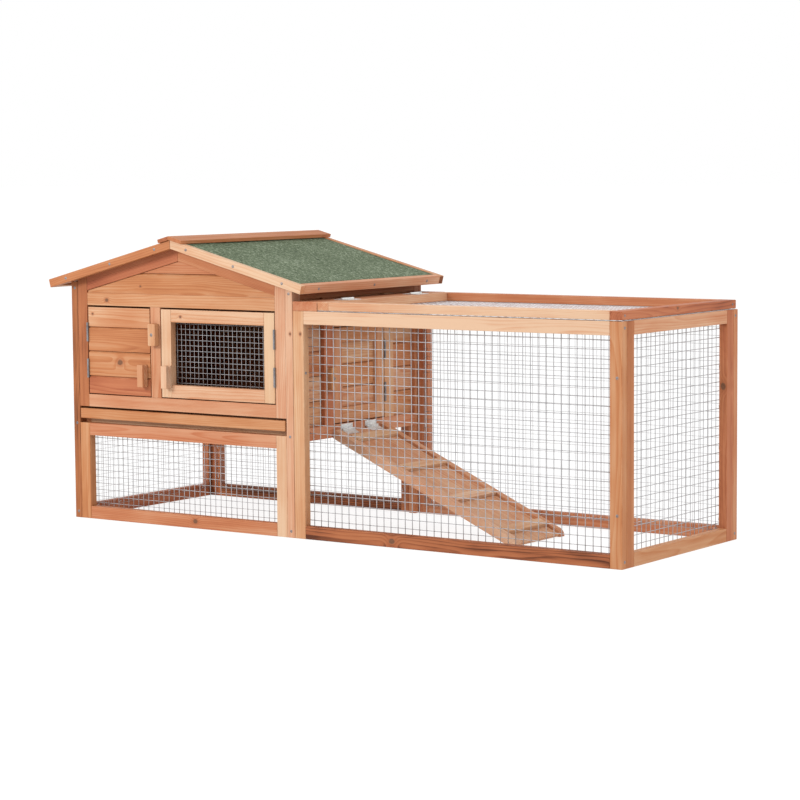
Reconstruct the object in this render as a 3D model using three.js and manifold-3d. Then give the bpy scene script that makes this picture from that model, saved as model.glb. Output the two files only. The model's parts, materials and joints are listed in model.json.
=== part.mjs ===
// Rabbit hutch: a gabled timber house on legs of mesh panels, with a long mesh run beside it.
// Millimetres, +X along the front from the house to the end of the run, +Y to the back, +Z up.
// The outer group puts the origin at the centre of the footprint, on the ground.
import * as THREE from 'three';
import { mergeVertices } from 'three/addons/utils/BufferGeometryUtils.js';
import Module from 'manifold-3d';

const wasm = await Module();
wasm.setup();

// ---- Driving dimensions -------------------------------------------------------------------
// Inside the group, x = 0 is the house's left face, y = 0 its front face and z = 0 the ground.
const LENGTH = 1530;
const DEPTH = 516;
const HOUSE_WIDTH = 670;
const STICK_WIDTH = 30;
const STICK_DEPTH = 20;
const GAP = 0.3;
const CUT_MARGIN = 1;
const WELD = 1;

const ROOF_PITCH = THREE.MathUtils.degToRad(14.5);
const ROOF_APEX_Z = 677.6;
const EAVE_OVERHANG = 48;
const GABLE_OVERHANG = 28;
const TRIM_WIDTH = 20;
const TRIM_THICKNESS = 16;
const FELT_TOP_DROP = 2;
const FELT_THICKNESS = 2;
const ROOF_BOARD_THICKNESS = 11.7;
const CAP_THICKNESS = 8.5;
const CAP_RIGHT_ARM = 38;
const CAP_LEFT_ARM = 32;
const CAP_OVERHANG = 6;

const WALL_TOP = 573.5;
const MID_RAIL_Z = 217;
const BOARD_PITCH = 58;
const BOARD_THICKNESS = 9;
const BOARD_RECESS = 3;
const GROOVE_DEPTH = 3;
const GROOVE_HEIGHT = 4;

const LOWER_PANEL_TOP = 233;
const FRONT_FRAME_Z = 273;
const DOOR_RAIL_Z = 516;
const MULLION_X = 248;
const RAKE_LOW_APEX_Z = 627;
const GABLE_JOINT_Z = 597;

const DOOR_THICKNESS = 18;
const DOOR_CLEARANCE = 2.5;
const SOLID_DOOR_JOINTS = [348, 408, 466];
const BATTEN_INSET = 12;

const TRAY_Z = 244;
const TRAY_DEPTH = 459;
const TRAY_RIM_HEIGHT = 18;
const TRAY_RIM = 8;
const TRAY_BASE = 4;
const TRAY_FRONT_HEIGHT = 24;
const TRAY_FRONT_PROUD = 1.5;
const TRAY_SIDE_CLEARANCE = 3;
const TRAY_FRONT_CLEARANCE = 3.5;
const TRAY_LIFT = 0.5;
const LEDGE_SIZE = 17.5;

const JAMB_WIDTH = 36;
const SIDE_BAY = { y0: 156, y1: 360, z0: 247, z1: 474 };
const SIDE_DOOR_STILE = 31.5;
const SIDE_DOOR_RAIL = 35;
const SIDE_PANEL_JOINTS = [331, 385];

const RUN_X = 671;
const RUN_HEIGHT = 520;
const LID_X = 741;
const LID_DEPTH = 508;
const LID_TOP = 541.4;
const LID_INSET = 0.5;
const LID_HINGE_GAP = 1.5;

const RAMP_PIVOT = { x: 675, z: 233.3 };
const RAMP_ANGLE = THREE.MathUtils.degToRad(24);
const RAMP_Y = 147;
const RAMP_WIDTH = 203;
const RAMP_RAIL_WIDTH = 20;
const RAMP_START = 3.2;
const RAMP_TOP = 4;
const RAMP_RAIL_DEPTH = 21;
const RAMP_BOARD_DROP = 6.6;
const RAMP_BOARD_THICKNESS = 6;
const RAMP_BOARD_END = 549;
const RAMP_FOOT_Z = 0.5;
const CLEAT_COUNT = 4;
const CLEAT_PITCH = 151;
const CLEAT_FIRST_END = 58;
const CLEAT_LENGTH = 24;

const HANDLE = { width: 17, depth: 19, height: 53, z: 328, grooveRadius: 4, grooveCentre: 9 };
const BUTTON = { length: 53, width: 22, thickness: 15, corner: 4, stand: 0.7 };
const FRONT_BUTTON_Z = 453;
const SIDE_BUTTON = { y: 138, z: 356 };

const KNUCKLE_RADIUS = 2.4;
const KNUCKLE_OFFSET = 2.7;
const KNUCKLE_SIDES = 16;
const HINGE_LENGTH = 46;
const DOOR_LEAF_THICKNESS = 0.9;
const STRAP_LEAF_THICKNESS = 1.2;
const LID_LEAF_WIDTH = 22;
const RAMP_LEAF = { rise: 12.5, lap: 1 };
const FRONT_HINGE_Z = { upper: 453, lower: 366 };
const SIDE_HINGE_Z = { upper: 410, lower: 309 };
const LID_HINGE_Y = { front: 117, back: 391 };
const RAMP_HINGE_Y = { front: 204, back: 300 };

const WIRE_WIDTH = 3;
const WIRE_THICKNESS = 1.8;
const MESH_LAP = 10;
const MESH_LAP_AT_CORNER = 6;
const MESH_LAP_ON_MID_RAIL = 8;
const MESH_CELL = 100;

// ---- Values worked out from them ------------------------------------------------------------
const RIDGE_X = HOUSE_WIDTH / 2;
const INNER_LEFT = STICK_DEPTH;
const INNER_RIGHT = HOUSE_WIDTH - STICK_DEPTH;
const BAY_LEFT = INNER_LEFT + STICK_WIDTH;
const BAY_RIGHT = INNER_RIGHT - STICK_WIDTH;
const DOOR_BAY_Z = FRONT_FRAME_Z + STICK_WIDTH;
const GABLE_SILL_Z = DOOR_RAIL_Z + STICK_WIDTH;
const MULLION_END_X = MULLION_X + STICK_WIDTH;
const UPPER_SILL_Z = MID_RAIL_Z + STICK_WIDTH;
const SLOPE = Math.tan(ROOF_PITCH);
const EAVE_RUN = (RIDGE_X + EAVE_OVERHANG) / Math.cos(ROOF_PITCH);
const ROOF_UNDERSIDE = -(FELT_TOP_DROP + FELT_THICKNESS + GAP + ROOF_BOARD_THICKNESS);
const RAKE_DROP = (RAKE_LOW_APEX_Z - ROOF_APEX_Z) * Math.cos(ROOF_PITCH);
const BACK = DEPTH - STICK_DEPTH;

// ---- Materials --------------------------------------------------------------------------------
const FINISHES = {
  frame: { color: 0xd9a077, roughness: 0.62, metalness: 0 },
  board: { color: 0xc98a5c, roughness: 0.66, metalness: 0 },
  small: { color: 0xe2ad86, roughness: 0.6, metalness: 0 },
  ply: { color: 0xc79a6e, roughness: 0.7, metalness: 0 },
  felt: { color: 0x6f8f63, roughness: 0.95, metalness: 0 },
  wire: { color: 0xa9acae, roughness: 0.4, metalness: 0.85 },
  zinc: { color: 0xc9c9c2, roughness: 0.32, metalness: 0.9 },
};

// ---- Solids -----------------------------------------------------------------------------------
function outline(points) {
  return new THREE.Shape(points.map(([a, b]) => new THREE.Vector2(a, b)));
}

function rectangle(a0, b0, a1, b1) {
  return outline([[a0, b0], [a1, b0], [a1, b1], [a0, b1]]);
}

function extrude(shape, depth) {
  return new THREE.ExtrudeGeometry(shape, { depth, bevelEnabled: false, curveSegments: 6 });
}

function toManifold(geometry) {
  const bare = geometry.clone();
  bare.deleteAttribute('normal');
  bare.deleteAttribute('uv');
  const merged = mergeVertices(bare);
  const vertProperties = Float32Array.from(merged.attributes.position.array);
  const triVerts = Uint32Array.from(merged.index.array);
  return new wasm.Manifold(new wasm.Mesh({ numProp: 3, vertProperties, triVerts }));
}

function toGeometry(solid) {
  const mesh = solid.getMesh();
  const geometry = new THREE.BufferGeometry();
  geometry.setAttribute('position', new THREE.BufferAttribute(mesh.vertProperties, 3));
  geometry.setIndex(new THREE.BufferAttribute(mesh.triVerts, 1));
  geometry.computeVertexNormals();
  return geometry;
}

function join(geometries) {
  const solids = geometries.map(toManifold);
  return toGeometry(solids.reduce((sum, solid) => sum.add(solid)));
}

function cut(geometry, tools) {
  return toGeometry(tools.map(toManifold).reduce((rest, tool) => rest.subtract(tool), toManifold(geometry)));
}

function box(x0, x1, y0, y1, z0, z1) {
  const geometry = new THREE.BoxGeometry(x1 - x0, y1 - y0, z1 - z0);
  return geometry.translate((x0 + x1) / 2, (y0 + y1) / 2, (z0 + z1) / 2);
}

// A plate with windows cut right through it.
function windowed(shape, depth, windows) {
  const tools = windows.map((window) => extrude(window, depth + 2 * CUT_MARGIN).translate(0, 0, -CUT_MARGIN));
  return cut(extrude(shape, depth), tools);
}

// A V joint between two boards: a square edge above and a chamfered edge below it.
function jointGroove(a0, a1, z, thickness, outerFace) {
  const inward = outerFace === 'high' ? 1 : -1;
  const outside = -CUT_MARGIN * inward;
  const drop = GROOVE_HEIGHT * (1 + CUT_MARGIN / GROOVE_DEPTH);
  const section = outline([[outside, z], [GROOVE_DEPTH * inward, z], [outside, z - drop]]);
  const groove = extrude(section, a1 - a0 + 2 * CUT_MARGIN).rotateY(Math.PI / 2);
  return groove.translate(a0 - CUT_MARGIN, 0, outerFace === 'high' ? thickness : 0);
}

// Boards cut to an outline, with a joint at each given height.
function boarding(shape, a0, a1, joints, thickness, outerFace) {
  const grooves = joints.map((z) => jointGroove(a0, a1, z, thickness, outerFace));
  return cut(extrude(shape, thickness), grooves);
}

function jointHeights(first, top) {
  const count = Math.floor((top - first) / BOARD_PITCH);
  return Array.from({ length: count }, (_, i) => first + (i + 1) * BOARD_PITCH);
}

// A welded-wire panel as a flat lattice of square cells.
function lattice(a0, b0, a1, b1) {
  const columns = Math.round((a1 - a0) / MESH_CELL);
  const rows = Math.round((b1 - b0) / MESH_CELL);
  const stepA = (a1 - a0 - WIRE_WIDTH) / columns;
  const stepB = (b1 - b0 - WIRE_WIDTH) / rows;
  const cells = [];
  for (let i = 0; i < columns; i += 1) {
    for (let j = 0; j < rows; j += 1) {
      const a = a0 + WIRE_WIDTH + i * stepA;
      const b = b0 + WIRE_WIDTH + j * stepB;
      cells.push(rectangle(a, b, a + stepA - WIRE_WIDTH, b + stepB - WIRE_WIDTH));
    }
  }
  return windowed(rectangle(a0, b0, a1, b1), WIRE_THICKNESS, cells);
}

// A rectangular frame of sticks, with one window inside it.
function stickFrame(a0, b0, a1, b1, depth, side = STICK_WIDTH, rail = STICK_WIDTH) {
  const window = rectangle(a0 + side, b0 + rail, a1 - side, b1 - rail);
  return windowed(rectangle(a0, b0, a1, b1), depth, [window]);
}

// ---- Placing ----------------------------------------------------------------------------------
const hutch = new THREE.Group();
hutch.position.set(-(LENGTH - EAVE_OVERHANG) / 2, -DEPTH / 2, 0);

function piece(name, geometry, finish, parent = hutch) {
  const mesh = new THREE.Mesh(geometry, new THREE.MeshStandardMaterial(FINISHES[finish]));
  mesh.name = name;
  parent.add(mesh);
  return mesh;
}

// Stands a flat outline of (x, z) upright, from y - depth to y.
function facingFront(mesh, y) {
  mesh.rotation.set(Math.PI / 2, 0, 0);
  mesh.position.y = y;
  return mesh;
}

// Stands a flat outline of (y, z) upright, from x to x + depth.
function facingSide(mesh, x) {
  mesh.rotation.set(Math.PI / 2, Math.PI / 2, 0);
  mesh.position.x = x;
  return mesh;
}

// ---- Roof lines -------------------------------------------------------------------------------
// A height on the roof at x, lifted by `lift` square to the slope from the trim's top edge.
function roofZ(x, lift) {
  return ROOF_APEX_Z + lift / Math.cos(ROOF_PITCH) - Math.abs(x - RIDGE_X) * SLOPE;
}

// A point `run` down one slope (side 1 right, -1 left) and `lift` square to it.
function slopePoint(side, run, lift) {
  const across = run * Math.cos(ROOF_PITCH) + lift * Math.sin(ROOF_PITCH);
  const z = ROOF_APEX_Z - run * Math.sin(ROOF_PITCH) + lift * Math.cos(ROOF_PITCH);
  return [RIDGE_X + side * across, z];
}

// A board lying down one slope, cut upright at the ridge and square at the eave.
function slopeBoard(side, low, high, end) {
  const x = RIDGE_X + side * GAP;
  const lower = [[x, roofZ(x, low)], slopePoint(side, end, low)];
  const upper = [slopePoint(side, end, high), [x, roofZ(x, high)]];
  return outline([...lower, ...upper]);
}

// A five-sided gable outline standing on z0, its top edges parallel to the roof and `lift` from its top.
function gableOutline(x0, x1, z0, lift) {
  const rakes = [x1, RIDGE_X, x0].map((x) => [x, roofZ(x, lift)]);
  return outline([[x0, z0], [x1, z0], ...rakes]);
}

// ---- House walls ------------------------------------------------------------------------------
function leftWall() {
  const lower = rectangle(STICK_WIDTH, STICK_WIDTH, DEPTH - STICK_WIDTH, MID_RAIL_Z);
  const upper = rectangle(STICK_WIDTH, UPPER_SILL_Z, DEPTH - STICK_WIDTH, WALL_TOP - STICK_WIDTH);
  const frame = windowed(rectangle(0, 0, DEPTH, WALL_TOP), STICK_DEPTH, [lower, upper]);
  facingSide(piece('house_left_frame', frame, 'frame'), 0);

  const y0 = STICK_WIDTH + GAP;
  const y1 = DEPTH - STICK_WIDTH - GAP;
  const fill = rectangle(y0, UPPER_SILL_Z + GAP, y1, WALL_TOP - STICK_WIDTH - GAP);
  const boards = boarding(fill, y0, y1, jointHeights(UPPER_SILL_Z, WALL_TOP), BOARD_THICKNESS, 'low');
  facingSide(piece('house_left_boards', boards, 'board'), BOARD_RECESS);

  const a0 = STICK_WIDTH - MESH_LAP_AT_CORNER;
  const wires = lattice(a0, STICK_WIDTH - MESH_LAP, DEPTH - a0, MID_RAIL_Z + MESH_LAP_ON_MID_RAIL);
  facingSide(piece('house_left_mesh', wires, 'wire'), STICK_DEPTH + GAP);
}

function rightWall() {
  const legs = outline([
    [0, 0], [STICK_WIDTH, 0], [STICK_WIDTH, MID_RAIL_Z], [DEPTH - STICK_WIDTH, MID_RAIL_Z],
    [DEPTH - STICK_WIDTH, 0], [DEPTH, 0], [DEPTH, WALL_TOP], [0, WALL_TOP],
  ]);
  const top = WALL_TOP - STICK_WIDTH;
  const opening = rectangle(STICK_WIDTH, UPPER_SILL_Z, DEPTH - STICK_WIDTH, top);
  const sticks = windowed(legs, STICK_DEPTH, [opening]);

  const half = STICK_DEPTH / 2;
  const { y0, y1, z0, z1 } = SIDE_BAY;
  const jambs = [
    extrude(rectangle(y0 - JAMB_WIDTH, z0 - WELD, y0, top + WELD), half),
    extrude(rectangle(y1, z0 - WELD, y1 + JAMB_WIDTH, top + WELD), half),
    extrude(rectangle(y0 - WELD, z1, y1 + WELD, z1 + STICK_WIDTH), half),
  ];
  jambs.forEach((jamb) => jamb.translate(0, 0, half));
  facingSide(piece('house_right_frame', join([sticks, ...jambs]), 'frame'), INNER_RIGHT);

  const a0 = STICK_WIDTH + GAP;
  const a1 = DEPTH - STICK_WIDTH - GAP;
  const around = outline([
    [a0, UPPER_SILL_Z + GAP], [y0 - GAP, UPPER_SILL_Z + GAP], [y0 - GAP, z1 + GAP], [y1 + GAP, z1 + GAP],
    [y1 + GAP, UPPER_SILL_Z + GAP], [a1, UPPER_SILL_Z + GAP], [a1, top - GAP], [a0, top - GAP],
  ]);
  const boards = boarding(around, a0, a1, jointHeights(UPPER_SILL_Z, top), BOARD_THICKNESS, 'high');
  facingSide(piece('house_right_boards', boards, 'board'), INNER_RIGHT + GAP);
}

function backWall() {
  const x0 = INNER_LEFT + GAP;
  const x1 = INNER_RIGHT - GAP;
  const lower = rectangle(BAY_LEFT, STICK_WIDTH, BAY_RIGHT, MID_RAIL_Z);
  const upper = gableOutline(BAY_LEFT, BAY_RIGHT, UPPER_SILL_Z, RAKE_DROP);
  const frame = windowed(gableOutline(x0, x1, 0, ROOF_UNDERSIDE - GAP), STICK_DEPTH, [lower, upper]);
  facingFront(piece('house_back_frame', frame, 'frame'), DEPTH);

  const fill = gableOutline(BAY_LEFT + GAP, BAY_RIGHT - GAP, UPPER_SILL_Z + GAP, RAKE_DROP - 2 * GAP);
  const joints = jointHeights(UPPER_SILL_Z, RAKE_LOW_APEX_Z);
  const boards = boarding(fill, BAY_LEFT, BAY_RIGHT, joints, BOARD_THICKNESS, 'low');
  facingFront(piece('house_back_boards', boards, 'board'), DEPTH - BOARD_RECESS);

  const meshTop = MID_RAIL_Z + MESH_LAP_ON_MID_RAIL;
  const wires = lattice(BAY_LEFT - MESH_LAP, STICK_WIDTH - MESH_LAP, BAY_RIGHT + MESH_LAP, meshTop);
  facingFront(piece('house_back_mesh', wires, 'wire'), BACK - GAP);
}

function frontWall() {
  const x0 = INNER_LEFT + GAP;
  const x1 = INNER_RIGHT - GAP;
  const windows = [
    rectangle(BAY_LEFT, DOOR_BAY_Z, MULLION_X, DOOR_RAIL_Z),
    rectangle(MULLION_END_X, DOOR_BAY_Z, BAY_RIGHT, DOOR_RAIL_Z),
    gableOutline(BAY_LEFT, BAY_RIGHT, GABLE_SILL_Z, RAKE_DROP),
  ];
  const frame = windowed(gableOutline(x0, x1, FRONT_FRAME_Z, ROOF_UNDERSIDE - GAP), STICK_DEPTH, windows);
  facingFront(piece('house_front_frame', frame, 'frame'), STICK_DEPTH);

  const fill = gableOutline(BAY_LEFT + GAP, BAY_RIGHT - GAP, GABLE_SILL_Z + GAP, RAKE_DROP - 2 * GAP);
  const boards = boarding(fill, BAY_LEFT, BAY_RIGHT, [GABLE_JOINT_Z], BOARD_THICKNESS, 'high');
  facingFront(piece('gable_boards', boards, 'board'), BOARD_RECESS + BOARD_THICKNESS);

  const lower = stickFrame(x0, 0, x1, LOWER_PANEL_TOP, STICK_DEPTH);
  facingFront(piece('lower_front_frame', lower, 'frame'), STICK_DEPTH);

  const meshTop = LOWER_PANEL_TOP - STICK_WIDTH + MESH_LAP;
  const wires = lattice(BAY_LEFT - MESH_LAP, STICK_WIDTH - MESH_LAP, BAY_RIGHT + MESH_LAP, meshTop);
  facingFront(piece('lower_front_mesh', wires, 'wire'), STICK_DEPTH + GAP + WIRE_THICKNESS);
}

// ---- Pull-out tray ----------------------------------------------------------------------------
function tray() {
  const x0 = INNER_LEFT + GAP;
  const x1 = INNER_RIGHT - GAP;
  const y0 = STICK_DEPTH + GAP;
  const y1 = BACK - GAP;
  const ledge = stickFrame(x0, y0, x1, y1, LEDGE_SIZE, LEDGE_SIZE, LEDGE_SIZE);
  piece('tray_ledge', ledge, 'frame').position.z = TRAY_Z - TRAY_LIFT - LEDGE_SIZE;

  const panX0 = INNER_LEFT + TRAY_SIDE_CLEARANCE;
  const panX1 = INNER_RIGHT - TRAY_SIDE_CLEARANCE;
  const panY0 = DOOR_THICKNESS - TRAY_FRONT_PROUD + GAP;
  const panY1 = panY0 + TRAY_DEPTH;
  const well = windowed(rectangle(panX0, panY0, panX1, panY1), TRAY_RIM_HEIGHT - TRAY_BASE, [
    rectangle(panX0 + TRAY_RIM, panY0 + TRAY_RIM, panX1 - TRAY_RIM, panY1 - TRAY_RIM),
  ]);
  const base = extrude(rectangle(panX0, panY0, panX1, panY1), TRAY_BASE);
  piece('tray_pan', join([base, well.translate(0, 0, TRAY_BASE)]), 'ply').position.z = TRAY_Z;

  const stripX0 = INNER_LEFT + TRAY_FRONT_CLEARANCE;
  const stripX1 = INNER_RIGHT - TRAY_FRONT_CLEARANCE;
  const strip = rectangle(stripX0, TRAY_Z, stripX1, TRAY_Z + TRAY_FRONT_HEIGHT);
  const front = piece('tray_front', extrude(strip, DOOR_THICKNESS), 'small');
  facingFront(front, DOOR_THICKNESS - TRAY_FRONT_PROUD);
}

// ---- Doors, handles and turn buttons ------------------------------------------------------------
const FRONT_DOOR_Z0 = DOOR_BAY_Z + DOOR_CLEARANCE;
const FRONT_DOOR_Z1 = DOOR_RAIL_Z - DOOR_CLEARANCE;
const SOLID_DOOR_X1 = MULLION_X - DOOR_CLEARANCE;
const MESH_DOOR_X0 = MULLION_END_X + DOOR_CLEARANCE;
const MESH_DOOR_X1 = BAY_RIGHT - DOOR_CLEARANCE;

function solidDoor() {
  const x0 = BAY_LEFT + DOOR_CLEARANCE;
  const boardDepth = DOOR_THICKNESS / 2;
  const face = rectangle(x0, FRONT_DOOR_Z0, SOLID_DOOR_X1, FRONT_DOOR_Z1);
  const boards = boarding(face, x0, SOLID_DOOR_X1, SOLID_DOOR_JOINTS, boardDepth, 'high');
  const z0 = FRONT_DOOR_Z0 + BATTEN_INSET;
  const z1 = FRONT_DOOR_Z1 - BATTEN_INSET;
  const battens = [x0 + BATTEN_INSET, SOLID_DOOR_X1 - BATTEN_INSET - STICK_WIDTH].map((x) => {
    const batten = extrude(rectangle(x, z0, x + STICK_WIDTH, z1), boardDepth + WELD);
    return batten.translate(0, 0, -boardDepth);
  });
  facingFront(piece('solid_door_boards', join([boards, ...battens]), 'board'), boardDepth);
  handle('solid_door_handle', SOLID_DOOR_X1 - HANDLE.width);
}

function meshDoor() {
  const frame = stickFrame(MESH_DOOR_X0, FRONT_DOOR_Z0, MESH_DOOR_X1, FRONT_DOOR_Z1, DOOR_THICKNESS);
  facingFront(piece('mesh_door_frame', frame, 'frame'), DOOR_THICKNESS);
  const lap = STICK_WIDTH - MESH_LAP;
  const wires = lattice(MESH_DOOR_X0 + lap, FRONT_DOOR_Z0 + lap, MESH_DOOR_X1 - lap, FRONT_DOOR_Z1 - lap);
  facingFront(piece('mesh_door_mesh', wires, 'wire'), DOOR_THICKNESS + GAP + WIRE_THICKNESS);
  handle('mesh_door_handle', MESH_DOOR_X0 + STICK_WIDTH - HANDLE.width / 2);
}

// A block with a finger groove down each side, centred on x.
function handle(name, x) {
  const half = HANDLE.width / 2;
  const back = -GAP;
  const front = back - HANDLE.depth;
  const centre = back - HANDLE.grooveCentre;
  const r = HANDLE.grooveRadius;
  const section = new THREE.Shape();
  section.moveTo(-half, front);
  section.lineTo(half, front);
  section.lineTo(half, centre - r);
  section.absarc(half, centre, r, -Math.PI / 2, Math.PI / 2, true);
  section.lineTo(half, back);
  section.lineTo(-half, back);
  section.lineTo(-half, centre + r);
  section.absarc(-half, centre, r, Math.PI / 2, -Math.PI / 2, true);
  piece(name, extrude(section, HANDLE.height), 'small').position.set(x, 0, HANDLE.z);
}

function roundedBar(length, width, corner) {
  const a = width / 2;
  const b = length / 2;
  const bar = new THREE.Shape();
  bar.moveTo(-a + corner, -b);
  bar.lineTo(a - corner, -b);
  bar.absarc(a - corner, -b + corner, corner, -Math.PI / 2, 0, false);
  bar.lineTo(a, b - corner);
  bar.absarc(a - corner, b - corner, corner, 0, Math.PI / 2, false);
  bar.lineTo(-a + corner, b);
  bar.absarc(-a + corner, b - corner, corner, Math.PI / 2, Math.PI, false);
  bar.lineTo(-a, -b + corner);
  bar.absarc(-a + corner, -b + corner, corner, Math.PI, 1.5 * Math.PI, false);
  return extrude(bar, BUTTON.thickness);
}

function turnButtons() {
  const { length, width, corner, stand } = BUTTON;
  const front = piece('front_turn_button', roundedBar(length, width, corner), 'small');
  facingFront(front, -stand);
  front.position.x = (MULLION_X + MULLION_END_X) / 2;
  front.position.z = FRONT_BUTTON_Z;

  const side = piece('side_turn_button', roundedBar(length, width, corner), 'small');
  facingSide(side, HOUSE_WIDTH + stand);
  side.position.y = SIDE_BUTTON.y;
  side.position.z = SIDE_BUTTON.z;
}

function sideDoor() {
  const y0 = SIDE_BAY.y0 + DOOR_CLEARANCE;
  const y1 = SIDE_BAY.y1 - DOOR_CLEARANCE;
  const z0 = SIDE_BAY.z0 + DOOR_CLEARANCE;
  const z1 = SIDE_BAY.z1 - DOOR_CLEARANCE;
  const frame = stickFrame(y0, z0, y1, z1, DOOR_THICKNESS, SIDE_DOOR_STILE, SIDE_DOOR_RAIL);
  facingSide(piece('side_door_frame', frame, 'frame'), HOUSE_WIDTH - DOOR_THICKNESS);

  const a0 = y0 + SIDE_DOOR_STILE + GAP;
  const a1 = y1 - SIDE_DOOR_STILE - GAP;
  const fill = rectangle(a0, z0 + SIDE_DOOR_RAIL + GAP, a1, z1 - SIDE_DOOR_RAIL - GAP);
  const panel = boarding(fill, a0, a1, SIDE_PANEL_JOINTS, BOARD_THICKNESS, 'high');
  facingSide(piece('side_door_panel', panel, 'board'), HOUSE_WIDTH - DOOR_THICKNESS);
}

// ---- Roof ---------------------------------------------------------------------------------------
function roof() {
  const boardHigh = -(FELT_TOP_DROP + FELT_THICKNESS + GAP);
  const boardEnd = EAVE_RUN - TRIM_THICKNESS - GAP;
  const trimY = -GABLE_OVERHANG + TRIM_THICKNESS;
  const innerDepth = DEPTH + 2 * (GABLE_OVERHANG - TRIM_THICKNESS - GAP);
  const innerBack = DEPTH + GABLE_OVERHANG - TRIM_THICKNESS - GAP;
  for (const [name, side] of [['left', -1], ['right', 1]]) {
    const board = extrude(slopeBoard(side, ROOF_UNDERSIDE, boardHigh, boardEnd), innerDepth);
    facingFront(piece(`roof_board_${name}`, board, 'ply'), innerBack);

    for (const [end, y] of [['front', trimY], ['back', DEPTH + GABLE_OVERHANG]]) {
      const barge = extrude(slopeBoard(side, -TRIM_WIDTH, 0, EAVE_RUN), TRIM_THICKNESS);
      facingFront(piece(`bargeboard_${end}_${name}`, barge, 'frame'), y);
    }

    const start = EAVE_RUN - TRIM_THICKNESS;
    const fascia = outline([
      slopePoint(side, start, -TRIM_WIDTH), slopePoint(side, EAVE_RUN, -TRIM_WIDTH),
      slopePoint(side, EAVE_RUN, 0), slopePoint(side, start, 0),
    ]);
    facingFront(piece(`eave_fascia_${name}`, extrude(fascia, innerDepth), 'frame'), innerBack);
  }
  const feltLow = -(FELT_TOP_DROP + FELT_THICKNESS);
  const felt = ridgeBand(feltLow, -FELT_TOP_DROP, boardEnd, boardEnd);
  facingFront(piece('roof_felt', extrude(felt, innerDepth), 'felt'), innerBack);

  const cap = ridgeBand(GAP, GAP + CAP_THICKNESS, CAP_LEFT_ARM, CAP_RIGHT_ARM);
  const capBack = DEPTH + GABLE_OVERHANG + CAP_OVERHANG;
  facingFront(piece('ridge_cap', extrude(cap, 2 * capBack - DEPTH), 'frame'), capBack);
}

// A band folded over the ridge, from one slope to the other.
function ridgeBand(low, high, leftRun, rightRun) {
  return outline([
    slopePoint(-1, leftRun, low), [RIDGE_X, roofZ(RIDGE_X, low)], slopePoint(1, rightRun, low),
    slopePoint(1, rightRun, high), [RIDGE_X, roofZ(RIDGE_X, high)], slopePoint(-1, leftRun, high),
  ]);
}

// ---- Run ------------------------------------------------------------------------------------------
function run() {
  const long = () => stickFrame(RUN_X, 0, LENGTH, RUN_HEIGHT, STICK_DEPTH);
  const meshX0 = RUN_X + STICK_WIDTH - MESH_LAP;
  const meshX1 = LENGTH - STICK_DEPTH - 2 * GAP - WIRE_THICKNESS;
  const meshZ0 = STICK_WIDTH - MESH_LAP;
  const meshZ1 = RUN_HEIGHT - STICK_WIDTH + MESH_LAP;
  facingFront(piece('run_front_frame', long(), 'frame'), STICK_DEPTH);
  const frontWires = piece('run_front_mesh', lattice(meshX0, meshZ0, meshX1, meshZ1), 'wire');
  facingFront(frontWires, STICK_DEPTH + GAP + WIRE_THICKNESS);
  facingFront(piece('run_back_frame', long(), 'frame'), DEPTH);
  facingFront(piece('run_back_mesh', lattice(meshX0, meshZ0, meshX1, meshZ1), 'wire'), BACK - GAP);

  const end = stickFrame(STICK_DEPTH + GAP, 0, BACK - GAP, RUN_HEIGHT, STICK_DEPTH);
  facingSide(piece('run_end_frame', end, 'frame'), LENGTH - STICK_DEPTH);
  const endLap = STICK_DEPTH + STICK_WIDTH - MESH_LAP;
  const endWires = lattice(endLap, meshZ0, DEPTH - endLap, meshZ1);
  facingSide(piece('run_end_mesh', endWires, 'wire'), LENGTH - STICK_DEPTH - GAP - WIRE_THICKNESS);

  const beam = extrude(rectangle(RUN_X, 0, LID_X - LID_HINGE_GAP, DEPTH), LID_TOP - RUN_HEIGHT - GAP);
  piece('hinge_beam', beam, 'frame').position.z = RUN_HEIGHT + GAP;
}

function lid() {
  const x1 = LENGTH - LID_INSET;
  piece('lid_mesh', lattice(LID_X, LID_INSET, x1, LID_DEPTH), 'wire').position.z = RUN_HEIGHT + GAP;
  const z0 = RUN_HEIGHT + 2 * GAP + WIRE_THICKNESS;
  piece('lid_frame', stickFrame(LID_X, LID_INSET, x1, LID_DEPTH, LID_TOP - z0), 'frame').position.z = z0;
}

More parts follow.
